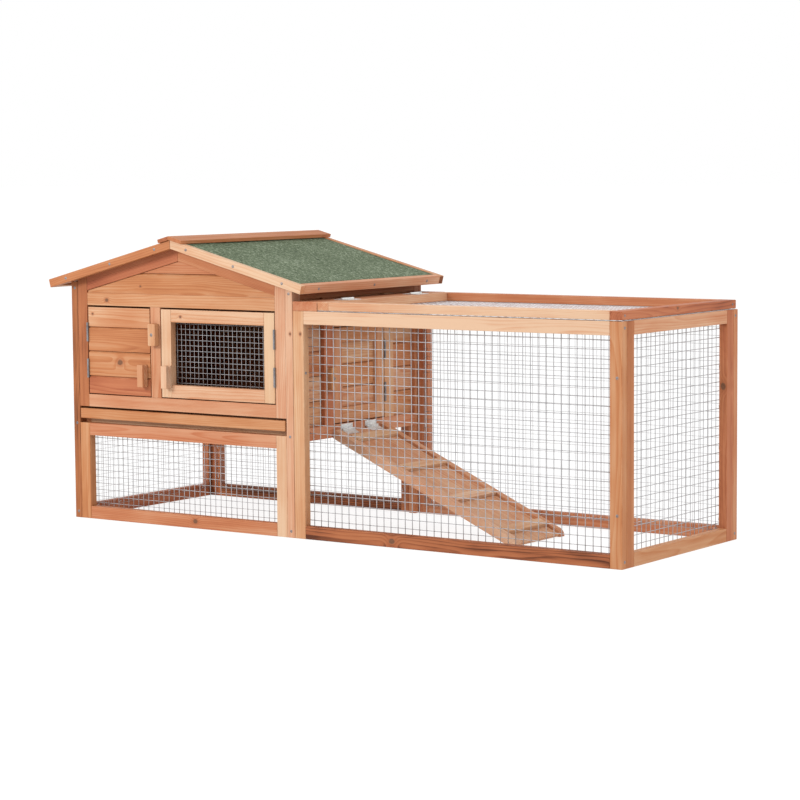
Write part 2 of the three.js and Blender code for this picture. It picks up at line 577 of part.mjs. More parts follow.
// ---- Ramp -----------------------------------------------------------------------------------------
// Built lying along its slope: local x runs down the ramp from the hinge pin, local z square to it.
function ramp() {
  const slope = new THREE.Group();
  slope.position.set(RAMP_PIVOT.x, RAMP_Y, RAMP_PIVOT.z);
  slope.rotation.y = RAMP_ANGLE;
  hutch.add(slope);

  const low = RAMP_TOP - RAMP_RAIL_DEPTH;
  const footRun = (RAMP_PIVOT.z + low * Math.cos(RAMP_ANGLE) - RAMP_FOOT_Z) / Math.sin(RAMP_ANGLE);
  const rail = new THREE.Shape();
  rail.moveTo(RAMP_START, low);
  rail.lineTo(footRun, low);
  rail.absarc(footRun, low, RAMP_RAIL_DEPTH, RAMP_ANGLE, Math.PI / 2, false);
  rail.lineTo(RAMP_START, RAMP_TOP);
  facingFront(piece('ramp_rail_front', extrude(rail, RAMP_RAIL_WIDTH), 'frame', slope), RAMP_RAIL_WIDTH);
  facingFront(piece('ramp_rail_back', extrude(rail.clone(), RAMP_RAIL_WIDTH), 'frame', slope), RAMP_WIDTH);

  const inside = RAMP_WIDTH - 2 * RAMP_RAIL_WIDTH - 2 * GAP;
  const innerY = RAMP_WIDTH - RAMP_RAIL_WIDTH - GAP;
  const boardTop = RAMP_TOP - RAMP_BOARD_DROP;
  const floor = rectangle(RAMP_START, boardTop - RAMP_BOARD_THICKNESS, RAMP_BOARD_END, boardTop);
  facingFront(piece('ramp_board', extrude(floor, inside), 'board', slope), innerY);

  for (let i = 0; i < CLEAT_COUNT; i += 1) {
    const end = CLEAT_FIRST_END + i * CLEAT_PITCH;
    const cleat = rectangle(end - CLEAT_LENGTH, boardTop + GAP, end, RAMP_TOP);
    facingFront(piece(`ramp_cleat_${i + 1}`, extrude(cleat, inside), 'small', slope), innerY);
  }
}

// ---- Hinges ---------------------------------------------------------------------------------------
// The fixed leaf of a butt hinge, with its knuckle. The pin lies on local z; plates are [x0, x1, y0, y1].
function hinge(name, plates) {
  const half = HINGE_LENGTH / 2;
  const knuckle = new THREE.CylinderGeometry(KNUCKLE_RADIUS, KNUCKLE_RADIUS, HINGE_LENGTH, KNUCKLE_SIDES);
  const leaves = plates.map(([x0, x1, y0, y1]) => box(x0, x1, y0, y1, -half, half));
  return piece(name, join([knuckle.rotateX(Math.PI / 2), ...leaves]), 'zinc');
}

function doorHinges() {
  const gapMiddle = DOOR_CLEARANCE / 2;
  const leftLeaf = [[-DOOR_LEAF_THICKNESS, 0, 0, DOOR_THICKNESS]];
  const rightLeaf = [[0, DOOR_LEAF_THICKNESS, 0, DOOR_THICKNESS]];
  for (const [place, z] of Object.entries(FRONT_HINGE_Z)) {
    const left = hinge(`solid_door_hinge_${place}`, leftLeaf);
    left.position.set(BAY_LEFT + gapMiddle, -KNUCKLE_OFFSET, z);
    const right = hinge(`mesh_door_hinge_${place}`, rightLeaf);
    right.position.set(BAY_RIGHT - gapMiddle, -KNUCKLE_OFFSET, z);
  }
  for (const [place, z] of Object.entries(SIDE_HINGE_Z)) {
    const side = hinge(`side_door_hinge_${place}`, rightLeaf);
    side.position.set(HOUSE_WIDTH + KNUCKLE_OFFSET, SIDE_BAY.y1 - gapMiddle, z);
    side.rotation.z = Math.PI / 2;
  }
}

function lidAndRampHinges() {
  const lidLeaf = [[-LID_LEAF_WIDTH, 0, -KNUCKLE_RADIUS, STRAP_LEAF_THICKNESS - KNUCKLE_RADIUS]];
  for (const [place, y] of Object.entries(LID_HINGE_Y)) {
    const mesh = hinge(`lid_hinge_${place}`, lidLeaf);
    facingFront(mesh, y);
    mesh.position.x = LID_X - LID_HINGE_GAP / 2;
    mesh.position.z = LID_TOP + KNUCKLE_OFFSET;
  }
  const { rise, lap } = RAMP_LEAF;
  const wall = HOUSE_WIDTH - RAMP_PIVOT.x + GAP;
  const rampLeaf = [[wall, wall + STRAP_LEAF_THICKNESS, -lap, rise], [wall, 0, -lap, lap]];
  for (const [place, y] of Object.entries(RAMP_HINGE_Y)) {
    const mesh = hinge(`ramp_hinge_${place}`, rampLeaf);
    facingFront(mesh, y);
    mesh.position.x = RAMP_PIVOT.x;
    mesh.position.z = RAMP_PIVOT.z;
  }
}

leftWall();
rightWall();
backWall();
frontWall();
tray();
solidDoor();
meshDoor();
turnButtons();
sideDoor();
roof();
run();
lid();
ramp();
doorHinges();
lidAndRampHinges();

export default hutch;
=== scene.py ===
"""Visual model of the rabbit hutch: every stick, board, wire and screw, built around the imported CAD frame.

Lengths are millimetres from the house's front left bottom corner (x along the front, y to the back, z up)
until a piece is finished, which puts it in the frame's metres.
"""

import json
import math
import random

import bmesh
import bpy
from mathutils import Matrix, Vector


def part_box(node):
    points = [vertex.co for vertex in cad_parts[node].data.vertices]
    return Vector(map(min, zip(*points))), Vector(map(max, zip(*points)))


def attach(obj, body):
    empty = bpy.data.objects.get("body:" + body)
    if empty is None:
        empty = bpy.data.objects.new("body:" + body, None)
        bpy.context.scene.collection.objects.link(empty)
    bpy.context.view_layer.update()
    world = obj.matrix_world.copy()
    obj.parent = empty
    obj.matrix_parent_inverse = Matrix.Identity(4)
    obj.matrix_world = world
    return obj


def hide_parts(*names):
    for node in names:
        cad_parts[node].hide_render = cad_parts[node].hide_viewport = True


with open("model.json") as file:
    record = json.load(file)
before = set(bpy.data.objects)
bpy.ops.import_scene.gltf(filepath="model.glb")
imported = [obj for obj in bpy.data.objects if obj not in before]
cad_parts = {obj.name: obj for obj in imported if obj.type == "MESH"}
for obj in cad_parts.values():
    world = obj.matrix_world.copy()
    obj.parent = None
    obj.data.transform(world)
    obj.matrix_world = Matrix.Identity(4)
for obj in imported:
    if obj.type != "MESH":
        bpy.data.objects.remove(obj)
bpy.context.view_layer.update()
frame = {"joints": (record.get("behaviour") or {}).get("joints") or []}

MM = 0.001
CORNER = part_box("house_left_frame")[0]
GAP = 0.3  # between neighbouring CAD nodes
BUTT = 0.15  # between the end of a stick and the side of the next
STICK = 30  # width of the stock that the frames are made of
STICK_DEPTH = 20
ROOF_PITCH = math.radians(14.5)
RAMP_ANGLE = math.radians(24)
LEFT, RIGHT, FRONT, BACK, UP = (-1, 0, 0), (1, 0, 0), (0, -1, 0), (0, 1, 0), (0, 0, 1)
AXES = {"x": Vector(RIGHT), "y": Vector(BACK), "z": Vector(UP)}
PLANE = {"x": (1, 2), "y": (0, 2), "z": (0, 1)}  # the two other axes


def extent(node):
    """A CAD node's box as (x0, x1, y0, y1, z0, z1), in millimetres from the house corner."""
    low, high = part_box(node)
    pairs = [((low[i] - CORNER[i]) / MM, (high[i] - CORNER[i]) / MM) for i in range(3)]
    return tuple(round(value, 3) for pair in pairs for value in pair)


def span(node, axis):
    """A CAD node's low and high along one axis."""
    first = 2 * "xyz".index(axis)
    return extent(node)[first:first + 2]


def middle(node, axis):
    return sum(span(node, axis)) / 2


def flat_box(node):
    """A CAD node's spans by axis, then the names of its thinnest axis and of the other two."""
    spans = {axis: span(node, axis) for axis in "xyz"}
    thin = min(spans, key=lambda k: spans[k][1] - spans[k][0])
    return (spans, thin, *[k for k in "xyz" if k != thin])


def joint_point(name):
    joint = next(j for j in frame["joints"] if j["name"] == name)
    return (Vector(joint["pos_m"]) - CORNER) / MM


# ---- Node graphs ----
class Graph:
    """A material under construction, with short calls for the nodes it uses."""

    def __init__(self, name):
        self.material = bpy.data.materials.new(name)
        self.material.use_nodes = True
        self.tree = self.material.node_tree
        self.tree.nodes.clear()
        self.shader = self.node("ShaderNodeBsdfPrincipled")
        output = self.node("ShaderNodeOutputMaterial")
        self.tree.links.new(self.shader.outputs["BSDF"], output.inputs["Surface"])

    def node(self, kind, inputs=None, **settings):
        node = self.tree.nodes.new(kind)
        for key, value in settings.items():
            setattr(node, key, value)
        for key, value in (inputs or {}).items():
            self.feed(node.inputs[key], value)
        return node

    def feed(self, socket, value):
        if isinstance(value, bpy.types.NodeSocket):
            self.tree.links.new(value, socket)
        else:
            socket.default_value = value

    def set(self, **values):
        for key, value in values.items():
            self.feed(self.shader.inputs[key.replace("_", " ")], value)

    def maths(self, operation, *values, clamp=False):
        inputs = dict(enumerate(values))
        return self.node("ShaderNodeMath", inputs, operation=operation, use_clamp=clamp).outputs[0]

    def add(self, *values):
        total = values[0]
        for value in values[1:]:
            total = self.maths("ADD", total, value)
        return total

    def times(self, a, b):
        return self.maths("MULTIPLY", a, b)

    def vector(self, operation, *values, out="Vector"):
        inputs = dict(enumerate(values))
        return self.node("ShaderNodeVectorMath", inputs, operation=operation).outputs[out]

    def scaled(self, vector, by):
        return self.vector("MULTIPLY", vector, by)

    def split(self, vector):
        return self.node("ShaderNodeSeparateXYZ", {0: vector}).outputs

    def attribute(self, name, out="Vector"):
        return self.node("ShaderNodeAttribute", attribute_name=name).outputs[out]

    def noise(self, vector, by=(1, 1, 1), detail=2, rough=0.5, out="Fac"):
        inputs = {"Vector": self.scaled(vector, by), "Scale": 1, "Detail": detail, "Roughness": rough}
        return self.node("ShaderNodeTexNoise", inputs).outputs[out]

    def centred(self, value, amount):
        """A 0 to 1 value as a swing of -amount/2 to amount/2."""
        return self.times(self.maths("SUBTRACT", value, 0.5), amount)

    def fade(self, value, start, end):
        """Smoothly 0 at start and 1 at end."""
        inputs = {"Value": value, "From Min": start, "From Max": end}
        return self.node("ShaderNodeMapRange", inputs, interpolation_type="SMOOTHSTEP").outputs[0]

    def between(self, value, low, high):
        return self.node("ShaderNodeMapRange", {"Value": value, "To Min": low, "To Max": high}).outputs[0]

    def mix(self, factor, a, b):
        node = self.node("ShaderNodeMix", data_type="RGBA")
        self.feed(node.inputs[0], factor)
        self.feed(node.inputs[6], a)
        self.feed(node.inputs[7], b)
        return node.outputs[2]

    def ramp(self, value, stops):
        node = self.node("ShaderNodeValToRGB", {0: value})
        elements = node.color_ramp.elements
        while len(elements) < len(stops):
            elements.new(0.5)
        for element, (position, colour) in zip(elements, stops):
            element.position = position
            element.color = colour
        return node.outputs["Color"]

    def bump(self, height, distance, strength):
        node = self.node("ShaderNodeBump", {"Height": height, "Distance": distance, "Strength": strength})
        self.feed(self.shader.inputs["Normal"], node.outputs[0])


def rgb(r, g, b):
    return (r, g, b, 1.0)


def grey(value):
    return rgb(value, value, value)


# ---- Materials ----
FLOOR_GLOW = 0.86
PALE = rgb(0.55, 0.365, 0.235)
FAIR = rgb(0.47, 0.235, 0.125)
ORANGE = rgb(0.395, 0.146, 0.060)
BROWN = rgb(0.29, 0.087, 0.033)
DEEP = rgb(0.085, 0.022, 0.008)
KNOT_DARK = rgb(0.075, 0.034, 0.020)
KNOT_LIGHT = rgb(0.20, 0.10, 0.052)
KNOT_FALLOFF = -0.22  # how fast the bent grain straightens away from a knot
KNOT_BEND = 1.2
KNOT_RINGS = 17
RING_DRIFT = 0.02
END_RINGS = 3  # how much stronger the rings are on end grain
HUE_SHIFT = 0.011
WOOD_SHEEN = 0.16


def wood(name, ring_pitch, ring_strength, streak_strength, roughness):
    """Stained softwood. Growth rings run round a pith, drift along the board and bend round its knot.

    grain_place is metres along and across the grain, and grain_knot is measured in knot radii.
    """
    g = Graph(name)
    place = g.attribute("grain_place")
    tone, shift, end = g.split(g.attribute("grain_look"))
    knot_x, knot_y, knot_radius = g.split(g.attribute("grain_knot"))
    wear_and_highlight = g.attribute("grain_edge", "Fac")

    wobble = g.centred(g.noise(place, (60, 160, 160), 1), 0.5)
    reach = g.vector("LENGTH", g.node("ShaderNodeCombineXYZ", {0: knot_x, 1: knot_y}).outputs[0], out="Value")
    from_knot = g.add(reach, wobble)
    spread = g.maths("EXPONENT", g.times(g.times(reach, reach), KNOT_FALLOFF))
    bend = g.times(g.times(spread, knot_radius), KNOT_BEND)

    drift = g.noise(place, (2.4, 13, 13), 2, out="Color")
    drift = g.scaled(g.vector("SUBTRACT", drift, (0.5, 0.5, 0.5)), (0, RING_DRIFT, RING_DRIFT))
    across = g.scaled(g.vector("ADD", place, drift), (0, 1, 1))
    radius = g.add(g.vector("LENGTH", across, out="Value"), bend)
    ring = g.maths("FRACT", g.maths("DIVIDE", radius, ring_pitch))
    profile = ((0.0, 0), (0.5, 0.22), (0.84, 0.9), (0.92, 1), (1.0, 0))
    latewood = g.ramp(ring, [(at, grey(depth)) for at, depth in profile])

    streak = g.noise(place, (1.6, 120, 120), 4, 0.62)
    fibre = g.noise(place, (22, 1100, 1100), 2)
    blotch = g.noise(place, (7, 30, 30), 3)
    flow = g.noise(place, (1.7, 6, 6), 2)
    ringed = g.times(g.centred(latewood, ring_strength), g.add(1, g.times(end, END_RINGS)))
    swings = [g.centred(value, amount) for value, amount in (
        (streak, streak_strength), (blotch, 0.5), (flow, 0.45), (fibre, 0.14))]
    depth = g.add(tone, ringed, *swings, end)
    # Eased edges and V chamfers are painted lighter: partly stain rubbed off the edges, partly painted
    # highlight where edges catch the light.
    rubbed_and_highlit = g.times(wear_and_highlight, g.between(g.noise(place, (40, 90, 90), 2), -0.3, 0.26))
    depth = g.maths("SUBTRACT", depth, rubbed_and_highlit, clamp=True)
    colour = g.ramp(depth, [(0.0, PALE), (0.28, FAIR), (0.55, ORANGE), (0.82, BROWN), (1.0, DEEP)])
    hue = g.maths("SUBTRACT", 0.5, g.times(shift, HUE_SHIFT))
    colour = g.node("ShaderNodeHueSaturation", {"Hue": hue, "Color": colour}).outputs[0]

    halo = g.times(g.fade(from_knot, 2.6, 0.9), 0.55)
    colour = g.mix(halo, colour, BROWN)
    heart = g.maths("SINE", g.times(from_knot, KNOT_RINGS))
    core = g.mix(g.between(heart, 0.0, 1.0), KNOT_DARK, KNOT_LIGHT)
    in_knot = g.fade(from_knot, 1.12, 0.82)
    colour = g.mix(g.times(in_knot, 0.82), colour, core)

    rough = g.add(g.between(streak, roughness - 0.1, roughness + 0.14), g.times(end, 0.15))
    rough = g.maths("SUBTRACT", rough, g.times(in_knot, 0.12))
    g.set(Base_Color=colour, Roughness=rough, Specular_IOR_Level=WOOD_SHEEN)
    relief = g.add(g.times(latewood, 0.45), fibre)
    relief = g.maths("SUBTRACT", relief, g.times(in_knot, 0.5))
    g.bump(relief, 0.00035, 0.55)
    return g.material


def felt():
    """Mineral roofing felt: coarse granules of several greens, with faint weathered patches."""
    g = Graph("green_mineral_felt")
    place = g.node("ShaderNodeTexCoord").outputs["Object"]
    chips = g.node("ShaderNodeTexVoronoi", {"Vector": place, "Scale": 380}, voronoi_dimensions="3D")
    shade = g.split(chips.outputs["Color"])[0]
    clumps = g.noise(place, (150, 150, 150), 3, 0.65)
    patches = g.noise(place, (9, 9, 9), 3)
    value = g.add(g.times(shade, 0.5), g.centred(clumps, 2.0), g.centred(patches, 0.4))
    value = g.maths("ADD", value, 0.18, clamp=True)
    stops = [(0.0, rgb(0.030, 0.046, 0.022)), (0.25, rgb(0.068, 0.094, 0.046)),
             (0.5, rgb(0.115, 0.148, 0.088)), (0.75, rgb(0.175, 0.215, 0.140)), (1.0, rgb(0.36, 0.40, 0.30))]
    g.set(Base_Color=g.ramp(value, stops), Roughness=g.between(shade, 0.78, 0.98), Specular_IOR_Level=0.3)
    g.bump(g.maths("SUBTRACT", clumps, chips.outputs["Distance"]), 0.0012, 0.8)
    return g.material


def metal(name, colour, dull, roughness, metallic, grain):
    """Zinc-coated steel, with dull blotches over the bright coat."""
    g = Graph(name)
    place = g.node("ShaderNodeTexCoord").outputs["Object"]
    spangle = g.noise(place, (grain, grain, grain), 3, 0.6)
    blotch = g.noise(place, (35, 35, 35), 2)
    worn = g.times(g.fade(g.add(spangle, g.centred(blotch, 0.8)), 0.3, 0.75), 0.85)
    rough = g.between(spangle, roughness - 0.08, roughness + 0.16)
    g.set(Base_Color=g.mix(worn, colour, dull), Roughness=rough, Metallic=metallic)
    g.bump(spangle, 0.0001, 0.4)
    return g.material


def floor_paint():
    g = Graph("pale_floor")
    place = g.node("ShaderNodeTexCoord").outputs["Object"]
    tint = g.mix(g.noise(place, (3, 3, 3), 3), grey(0.145), grey(0.155))
    g.set(Base_Color=tint, Roughness=0.9, Specular_IOR_Level=0.1)
    g.set(Emission_Color=grey(1), Emission_Strength=FLOOR_GLOW)
    return g.material


FRAME_WOOD = wood("stained_fir_sticks", 0.0034, 0.18, 0.5, 0.5)
BOARD_WOOD = wood("stained_fir_boards", 0.0042, 0.2, 0.48, 0.52)
SMALL_WOOD = wood("stained_fir_fittings", 0.0030, 0.18, 0.4, 0.5)
RAMP_WOOD = wood("rough_ramp_board", 0.0046, 0.34, 0.85, 0.6)
PLYWOOD = wood("plywood", 0.0008, 0.3, 0.34, 0.6)
FELT = felt()
WIRE = metal("galvanised_wire", rgb(0.41, 0.40, 0.41), rgb(0.26, 0.255, 0.26), 0.45, 0.3, 900)
# A lighter copy of the galvanised wire for the lid, which lies flat under the lamps: painted highlight on
# top-lit wires.
TOP_LIT_WIRE = metal("lid_wire_painted_highlight", rgb(0.78, 0.78, 0.80), rgb(0.55, 0.55, 0.57), 0.5, 0.2, 900)
ZINC = metal("zinc_plate", rgb(0.74, 0.74, 0.72), rgb(0.48, 0.48, 0.47), 0.42, 0.45, 300)
SCREW_ZINC = metal("screw_zinc", rgb(0.25, 0.245, 0.255), rgb(0.115, 0.11, 0.115), 0.42, 0.55, 500)
TIMBER = {"frame_wood": FRAME_WOOD, "board_wood": BOARD_WOOD, "small_wood": SMALL_WOOD, "plywood": PLYWOOD}


# ---- Pieces ----
NO_KNOT = (60.0, 60.0, 0.003)  # far away in knot radii
JOINT_GAP = 0.7  # half the gap between two boards
V_DEPTH = 3.6
TONGUE_SHARE = 0.55  # of a board's thickness
EDGE_ANGLE = math.radians(24)  # sharper edges than this are eased
LOW, HIGH, BOTTOM, TOP = range(4)  # a frame's stiles and rails


class Piece:
    """One visible object: closed bodies gathered in one mesh, with the attributes that the wood reads."""

    def __init__(self, name, body, slot, material, replaces=(), matrix=None):
        self.name, self.body, self.slot, self.material = name, body, slot, material
        self.nodes = [replaces] if isinstance(replaces, str) else list(replaces)
        self.matrix = matrix or Matrix.Identity(4)
        self.points, self.faces, self.smooth = [], [], []
        self.place, self.knot, self.look, self.edge = [], [], [], []
        self.random = random.Random(name)

    def add(self, points, faces, smooth=False):
        """Plain geometry, in millimetres, with no grain."""
        start = len(self.points)
        self.points.extend(self.matrix @ Vector(p) for p in points)
        for face in faces:
            self.faces.append([start + i for i in face])
            self.smooth.append(smooth)
            for i in face:
                self.place.append(Vector(points[i]) * MM)
                self.knot.append(NO_KNOT)
                self.look.append((0.5, 0, 0))
                self.edge.append(0.0)

    def slab(self, outline, axis, low, high, grain, tone=None, bevel=0.8, knot=None, chamfer=None, pith=None,
             end_tone=0.14):
        """A flat outline extruded along an axis, its edges eased, with grain along a direction.

        tone is how deep the stain is, and end_tone how much deeper it is on the end grain. knot is
        (centre, radius, normal of the face it shows on). chamfer is the outward direction of the face
        whose top edge carries a board's V joint.
        """
        run = (AXES[grain] if isinstance(grain, str) else Vector(grain)).normalized()
        bm, highlit_faces = prism(outline, axis, low, high, bevel, chamfer)
        centre = sum((v.co for v in bm.verts), Vector()) / len(bm.verts)
        side = min(AXES.values(), key=lambda a: abs(a.dot(run)))
        side = (side - run * side.dot(run)).normalized()
        other = run.cross(side)
        turn = self.random.uniform(0, 2 * math.pi)
        far = self.random.uniform(0.016, 0.06) if pith is None else pith
        offset = Vector((self.random.uniform(0, 40), far * math.cos(turn), far * math.sin(turn)))
        tone = self.random.uniform(0.36, 0.62) if tone is None else tone + self.random.uniform(-0.03, 0.03)
        shift = self.random.uniform(-0.6, 0.6)
        start = len(self.points)
        bm.verts.index_update()
        self.points.extend(self.matrix @ v.co for v in bm.verts)
        for face in bm.faces:
            self.faces.append([start + v.index for v in face.verts])
            self.smooth.append(False)
            is_end = end_tone if abs(face.normal.dot(run)) > 0.75 and face not in highlit_faces else 0.0
            for v in face.verts:
                local = (v.co - centre) * MM
                self.place.append(Vector((local.dot(run), local.dot(side), local.dot(other))) + offset)
                self.knot.append(knot_place(v.co, run, knot))
                self.look.append((tone, shift, is_end))
                # Eased and chamfered faces are marked so the wood paints them lighter: partly rubbed stain,
                # partly painted highlight.
                self.edge.append(1.0 if face in highlit_faces else 0.0)
        bm.free()

    def stick(self, x0, x1, y0, y1, z0, z1, grain, **more):
        self.slab([(y0, z0), (y1, z0), (y1, z1), (y0, z1)], "x", x0, x1, grain, **more)

    def finish(self):
        mesh = bpy.data.meshes.new(self.name)
        mesh.from_pydata([CORNER + p * MM for p in self.points], [], self.faces)
        mesh.polygons.foreach_set("use_smooth", self.smooth)
        vectors = {"grain_place": self.place, "grain_knot": self.knot, "grain_look": self.look}
        for name, values in vectors.items():
            layer = mesh.attributes.new(name, "FLOAT_VECTOR", "CORNER")
            layer.data.foreach_set("vector", [c for v in values for c in v])
        mesh.attributes.new("grain_edge", "FLOAT", "CORNER").data.foreach_set("value", self.edge)
        mesh.materials.append(self.material)
        mesh.update()
        obj = bpy.data.objects.new(self.name, mesh)
        bpy.context.scene.collection.objects.link(obj)
        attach(obj, self.body)
        if self.nodes:
            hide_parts(*self.nodes)
        return obj


def timber(name, slot, node, body="hutch", matrix=None):
    """A wooden piece that stands for one CAD node."""
    return Piece(name, body, slot, TIMBER[slot], node, matrix)


def front_knot(x, z, radius):
    """A knot that shows on a face towards the front."""
    return ((x, 0, z), radius, BACK)


def knot_place(point, run, knot):
    """Where a point is from a knot's centre: along the grain, across it, and the knot's radius."""
    if knot is None:
        return NO_KNOT
    centre, radius, normal = knot
    away = point - Vector(centre)
    sideways = run.cross(Vector(normal).normalized())
    return (away.dot(run) / (1.25 * radius), away.dot(sideways) / radius, radius * MM)


def prism(outline, axis, low, high, bevel, chamfer):
    """The bmesh of an extruded outline, and the set of its eased faces."""
    bm = bmesh.new()
    a, b = PLANE[axis]
    along = "xyz".index(axis)
    rings = []
    for level in (low, high):
        ring = []
        for pa, pb in outline:
            co = [0.0, 0.0, 0.0]
            co[a], co[b], co[along] = pa, pb, level
            ring.append(bm.verts.new(co))
        rings.append(ring)
    count = len(outline)
    bm.faces.new(rings[0])
    bm.faces.new(rings[1])
    for i in range(count):
        j = (i + 1) % count
        bm.faces.new((rings[0][i], rings[0][j], rings[1][j], rings[1][i]))
    bmesh.ops.recalc_face_normals(bm, faces=bm.faces)
    if chamfer is not None:
        outward = Vector(chamfer)
        face_at = max(v.co.dot(outward) for v in bm.verts)
        top = max(v.co.z for v in bm.verts)
        chosen = [e for e in bm.edges if all(
            v.co.dot(outward) > face_at - 0.01 and v.co.z > top - 0.01 for v in e.verts)]
        bmesh.ops.bevel(bm, geom=chosen, offset=V_DEPTH, segments=1, affect="EDGES")
    sharp = [e for e in bm.edges if len(e.link_faces) == 2 and e.calc_face_angle() > EDGE_ANGLE]
    eased = bmesh.ops.bevel(bm, geom=sharp, offset=bevel, segments=2, profile=0.6, affect="EDGES",
                            clamp_overlap=True)
    bm.normal_update()
    highlit_faces = set(eased["faces"])
    # The V chamfer faces up and out, so it joins the eased faces that get the painted highlight.
    if chamfer is not None:
        slant = (Vector(chamfer) + AXES["z"]).normalized()
        highlit_faces |= {face for face in bm.faces if face.normal.dot(slant) > 0.98}
    return bm, highlit_faces


def moulding(name, slot, node, outline, axis, reach, grain, body="hutch", matrix=None, **look):
    """A wooden piece made of one extruded outline; reach is its low and high along the axis."""
    piece = timber(name, slot, node, body, matrix)
    piece.slab(outline, axis, *reach, grain, **look)
    piece.finish()


def rectangle(a0, a1, b0, b1):
    return [(a0, b0), (a1, b0), (a1, b1), (a0, b1)]


def clip(outline, z0, z1):
    """The part of a convex outline between two heights."""
    for level, keep in ((z0, 1), (z1, -1)):
        kept = []
        for (a, b), (c, d) in zip(outline, outline[1:] + outline[:1]):
            if (b - level) * keep >= 0:
                kept.append((a, b))
            if (b - level) * (d - level) < 0:
                share = (level - b) / (d - b)
                kept.append((a + (c - a) * share, level))
        outline = kept
    return outline


def stick_frame(name, node, tones, knots=None, body="hutch", side=STICK, rail=STICK):
    """Two full-length stiles with two rails between them, filling a node's box."""
    box, thin, wide, tall = flat_box(node)
    (w0, w1), (t0, t1) = box[wide], box[tall]
    between = (w0 + side + BUTT, w1 - side - BUTT)
    parts = [
        ((w0, w0 + side), (t0, t1), tall),
        ((w1 - side, w1), (t0, t1), tall),
        (between, (t0, t0 + rail), wide),
        (between, (t1 - rail, t1), wide),
    ]
    piece = timber(name, "frame_wood", node, body)
    for i, (across, upward, grain) in enumerate(parts):
        spans = {thin: box[thin], wide: across, tall: upward}
        knot = (knots or {}).get(i)
        piece.stick(*spans["x"], *spans["y"], *spans["z"], grain, tone=tones[i], knot=knot, bevel=1.2)
    piece.finish()


def board_rows(piece, outline, low, high, joints, outward, tones=(), knots=None):
    """Level boards filling an outline, with a V joint and a tongue where two of them meet."""
    axis, grain = ("x", "y") if outward[0] else ("y", "x")
    heights = [b for _, b in outline]
    edges = [min(heights), *joints, max(heights)]
    depth = TONGUE_SHARE * (high - low)
    inner = (low, low + depth) if sum(outward) > 0 else (high - depth, high)
    for z in joints:
        tongue = clip(outline, z - JOINT_GAP + 0.02, z + JOINT_GAP - 0.02)
        # The tongue is stained deep (tone 0.9): painted shade in the joint between two boards.
        piece.slab(tongue, axis, *inner, grain, tone=0.9, bevel=0.1)
    for i, (z0, z1) in enumerate(zip(edges, edges[1:])):
        tone = tones[i] if i < len(tones) else None
        knot = (knots or {}).get(i)
        last = i == len(joints)
        shape = clip(outline, z0 + (JOINT_GAP if i else 0), z1 - (0 if last else JOINT_GAP))
        piece.slab(shape, axis, low, high, grain, tone=tone, knot=knot, bevel=0.4,
                   chamfer=None if last else outward)


# ---- Roof lines ----
DEPTH = span("house_left_frame", "y")[1]
WALL_TOP = span("house_left_frame", "z")[1]
HOUSE_WIDTH = span("house_right_frame", "x")[1]
RIDGE_X = HOUSE_WIDTH / 2
TRIM_FRONT = span("bargeboard_front_right", "y")[0]
TRIM_WIDTH = 20
EAVE_RUN = (span("bargeboard_front_right", "x")[1] - RIDGE_X) / math.cos(ROOF_PITCH)
APEX_Z = span("bargeboard_front_right", "z")[1] + GAP * math.tan(ROOF_PITCH)
FASCIA = 16
DECK_END = EAVE_RUN - FASCIA - GAP
ROOF_UNDERSIDE = -16.0
DECK_TOP = -4.3
FELT_BOTTOM = -4.0
FELT_TOP = -2.0
CAP_THICKNESS = 8.5
CAP_ARMS = (32, 38)  # left and right, down the slope
RAKE_LOW_APEX_Z = 627.0
RAKE_DROP = (RAKE_LOW_APEX_Z - APEX_Z) * math.cos(ROOF_PITCH)
PLY_PITH = 0.3  # metres: so far off that the rings run straight


def roof_z(x, lift):
    """The height of a line parallel to the roof, lift above its upper edge."""
    return APEX_Z + lift / math.cos(ROOF_PITCH) - abs(x - RIDGE_X) * math.tan(ROOF_PITCH)


def slope_point(side, run, lift):
    """x and z of a point that far down a slope, and that far above it."""
    across = run * math.cos(ROOF_PITCH) + lift * math.sin(ROOF_PITCH)
    return (RIDGE_X + side * across, APEX_Z - run * math.sin(ROOF_PITCH) + lift * math.cos(ROOF_PITCH))


def slope_direction(side):
    return Vector((side * math.cos(ROOF_PITCH), 0, -math.sin(ROOF_PITCH)))


def slope_board(side, low, high, end):
    x = RIDGE_X + side * GAP
    return [(x, roof_z(x, low)), slope_point(side, end, low),
            slope_point(side, end, high), (x, roof_z(x, high))]


def gable(x0, x1, z0, lift):
    return [(x0, z0), (x1, z0), *[(x, roof_z(x, lift)) for x in (x1, RIDGE_X, x0)]]


# ---- House walls ----
MID_RAIL = (217, 247)
MULLION = (248, 278)
DOOR_HEADROOM = 4.2  # from the doors up to the rail over them
BOARD_PITCH = 58
STILE_EDGE = STICK_DEPTH + STICK  # from the side of the house to the inner edge of a gable's stile
RAIL_ENDS = (STILE_EDGE + BUTT, HOUSE_WIDTH - STILE_EDGE - BUTT)


def joints_below(top):
    """The heights of the joints between the boards, from the middle rail up."""
    first = MID_RAIL[1]
    return [first + (i + 1) * BOARD_PITCH for i in range(int((top - first) / BOARD_PITCH))]


def left_wall():
    x0, x1, y0, y1, z0, z1 = extent("house_left_frame")
    sticks = timber("left_wall_sticks", "frame_wood", "house_left_frame")
    sticks.stick(x0, x1, y0, y0 + STICK, z0, z1, "z", tone=0.82)
    sticks.stick(x0, x1, y1 - STICK, y1, z0, z1, "z", tone=0.85)
    for low, high, tone in ((z0, z0 + STICK, 0.76), (*MID_RAIL, 0.6), (z1 - STICK, z1, 0.45)):
        sticks.stick(x0, x1, y0 + STICK + BUTT, y1 - STICK - BUTT, low, high, "y", tone=tone)
    sticks.finish()
    boards = timber("left_wall_boards", "board_wood", "house_left_boards")
    x0, x1, y0, y1, z0, z1 = extent("house_left_boards")
    joints = joints_below(WALL_TOP - STICK)
    board_rows(boards, rectangle(y0, y1, z0, z1), x0, x1, joints, LEFT)
    boards.finish()


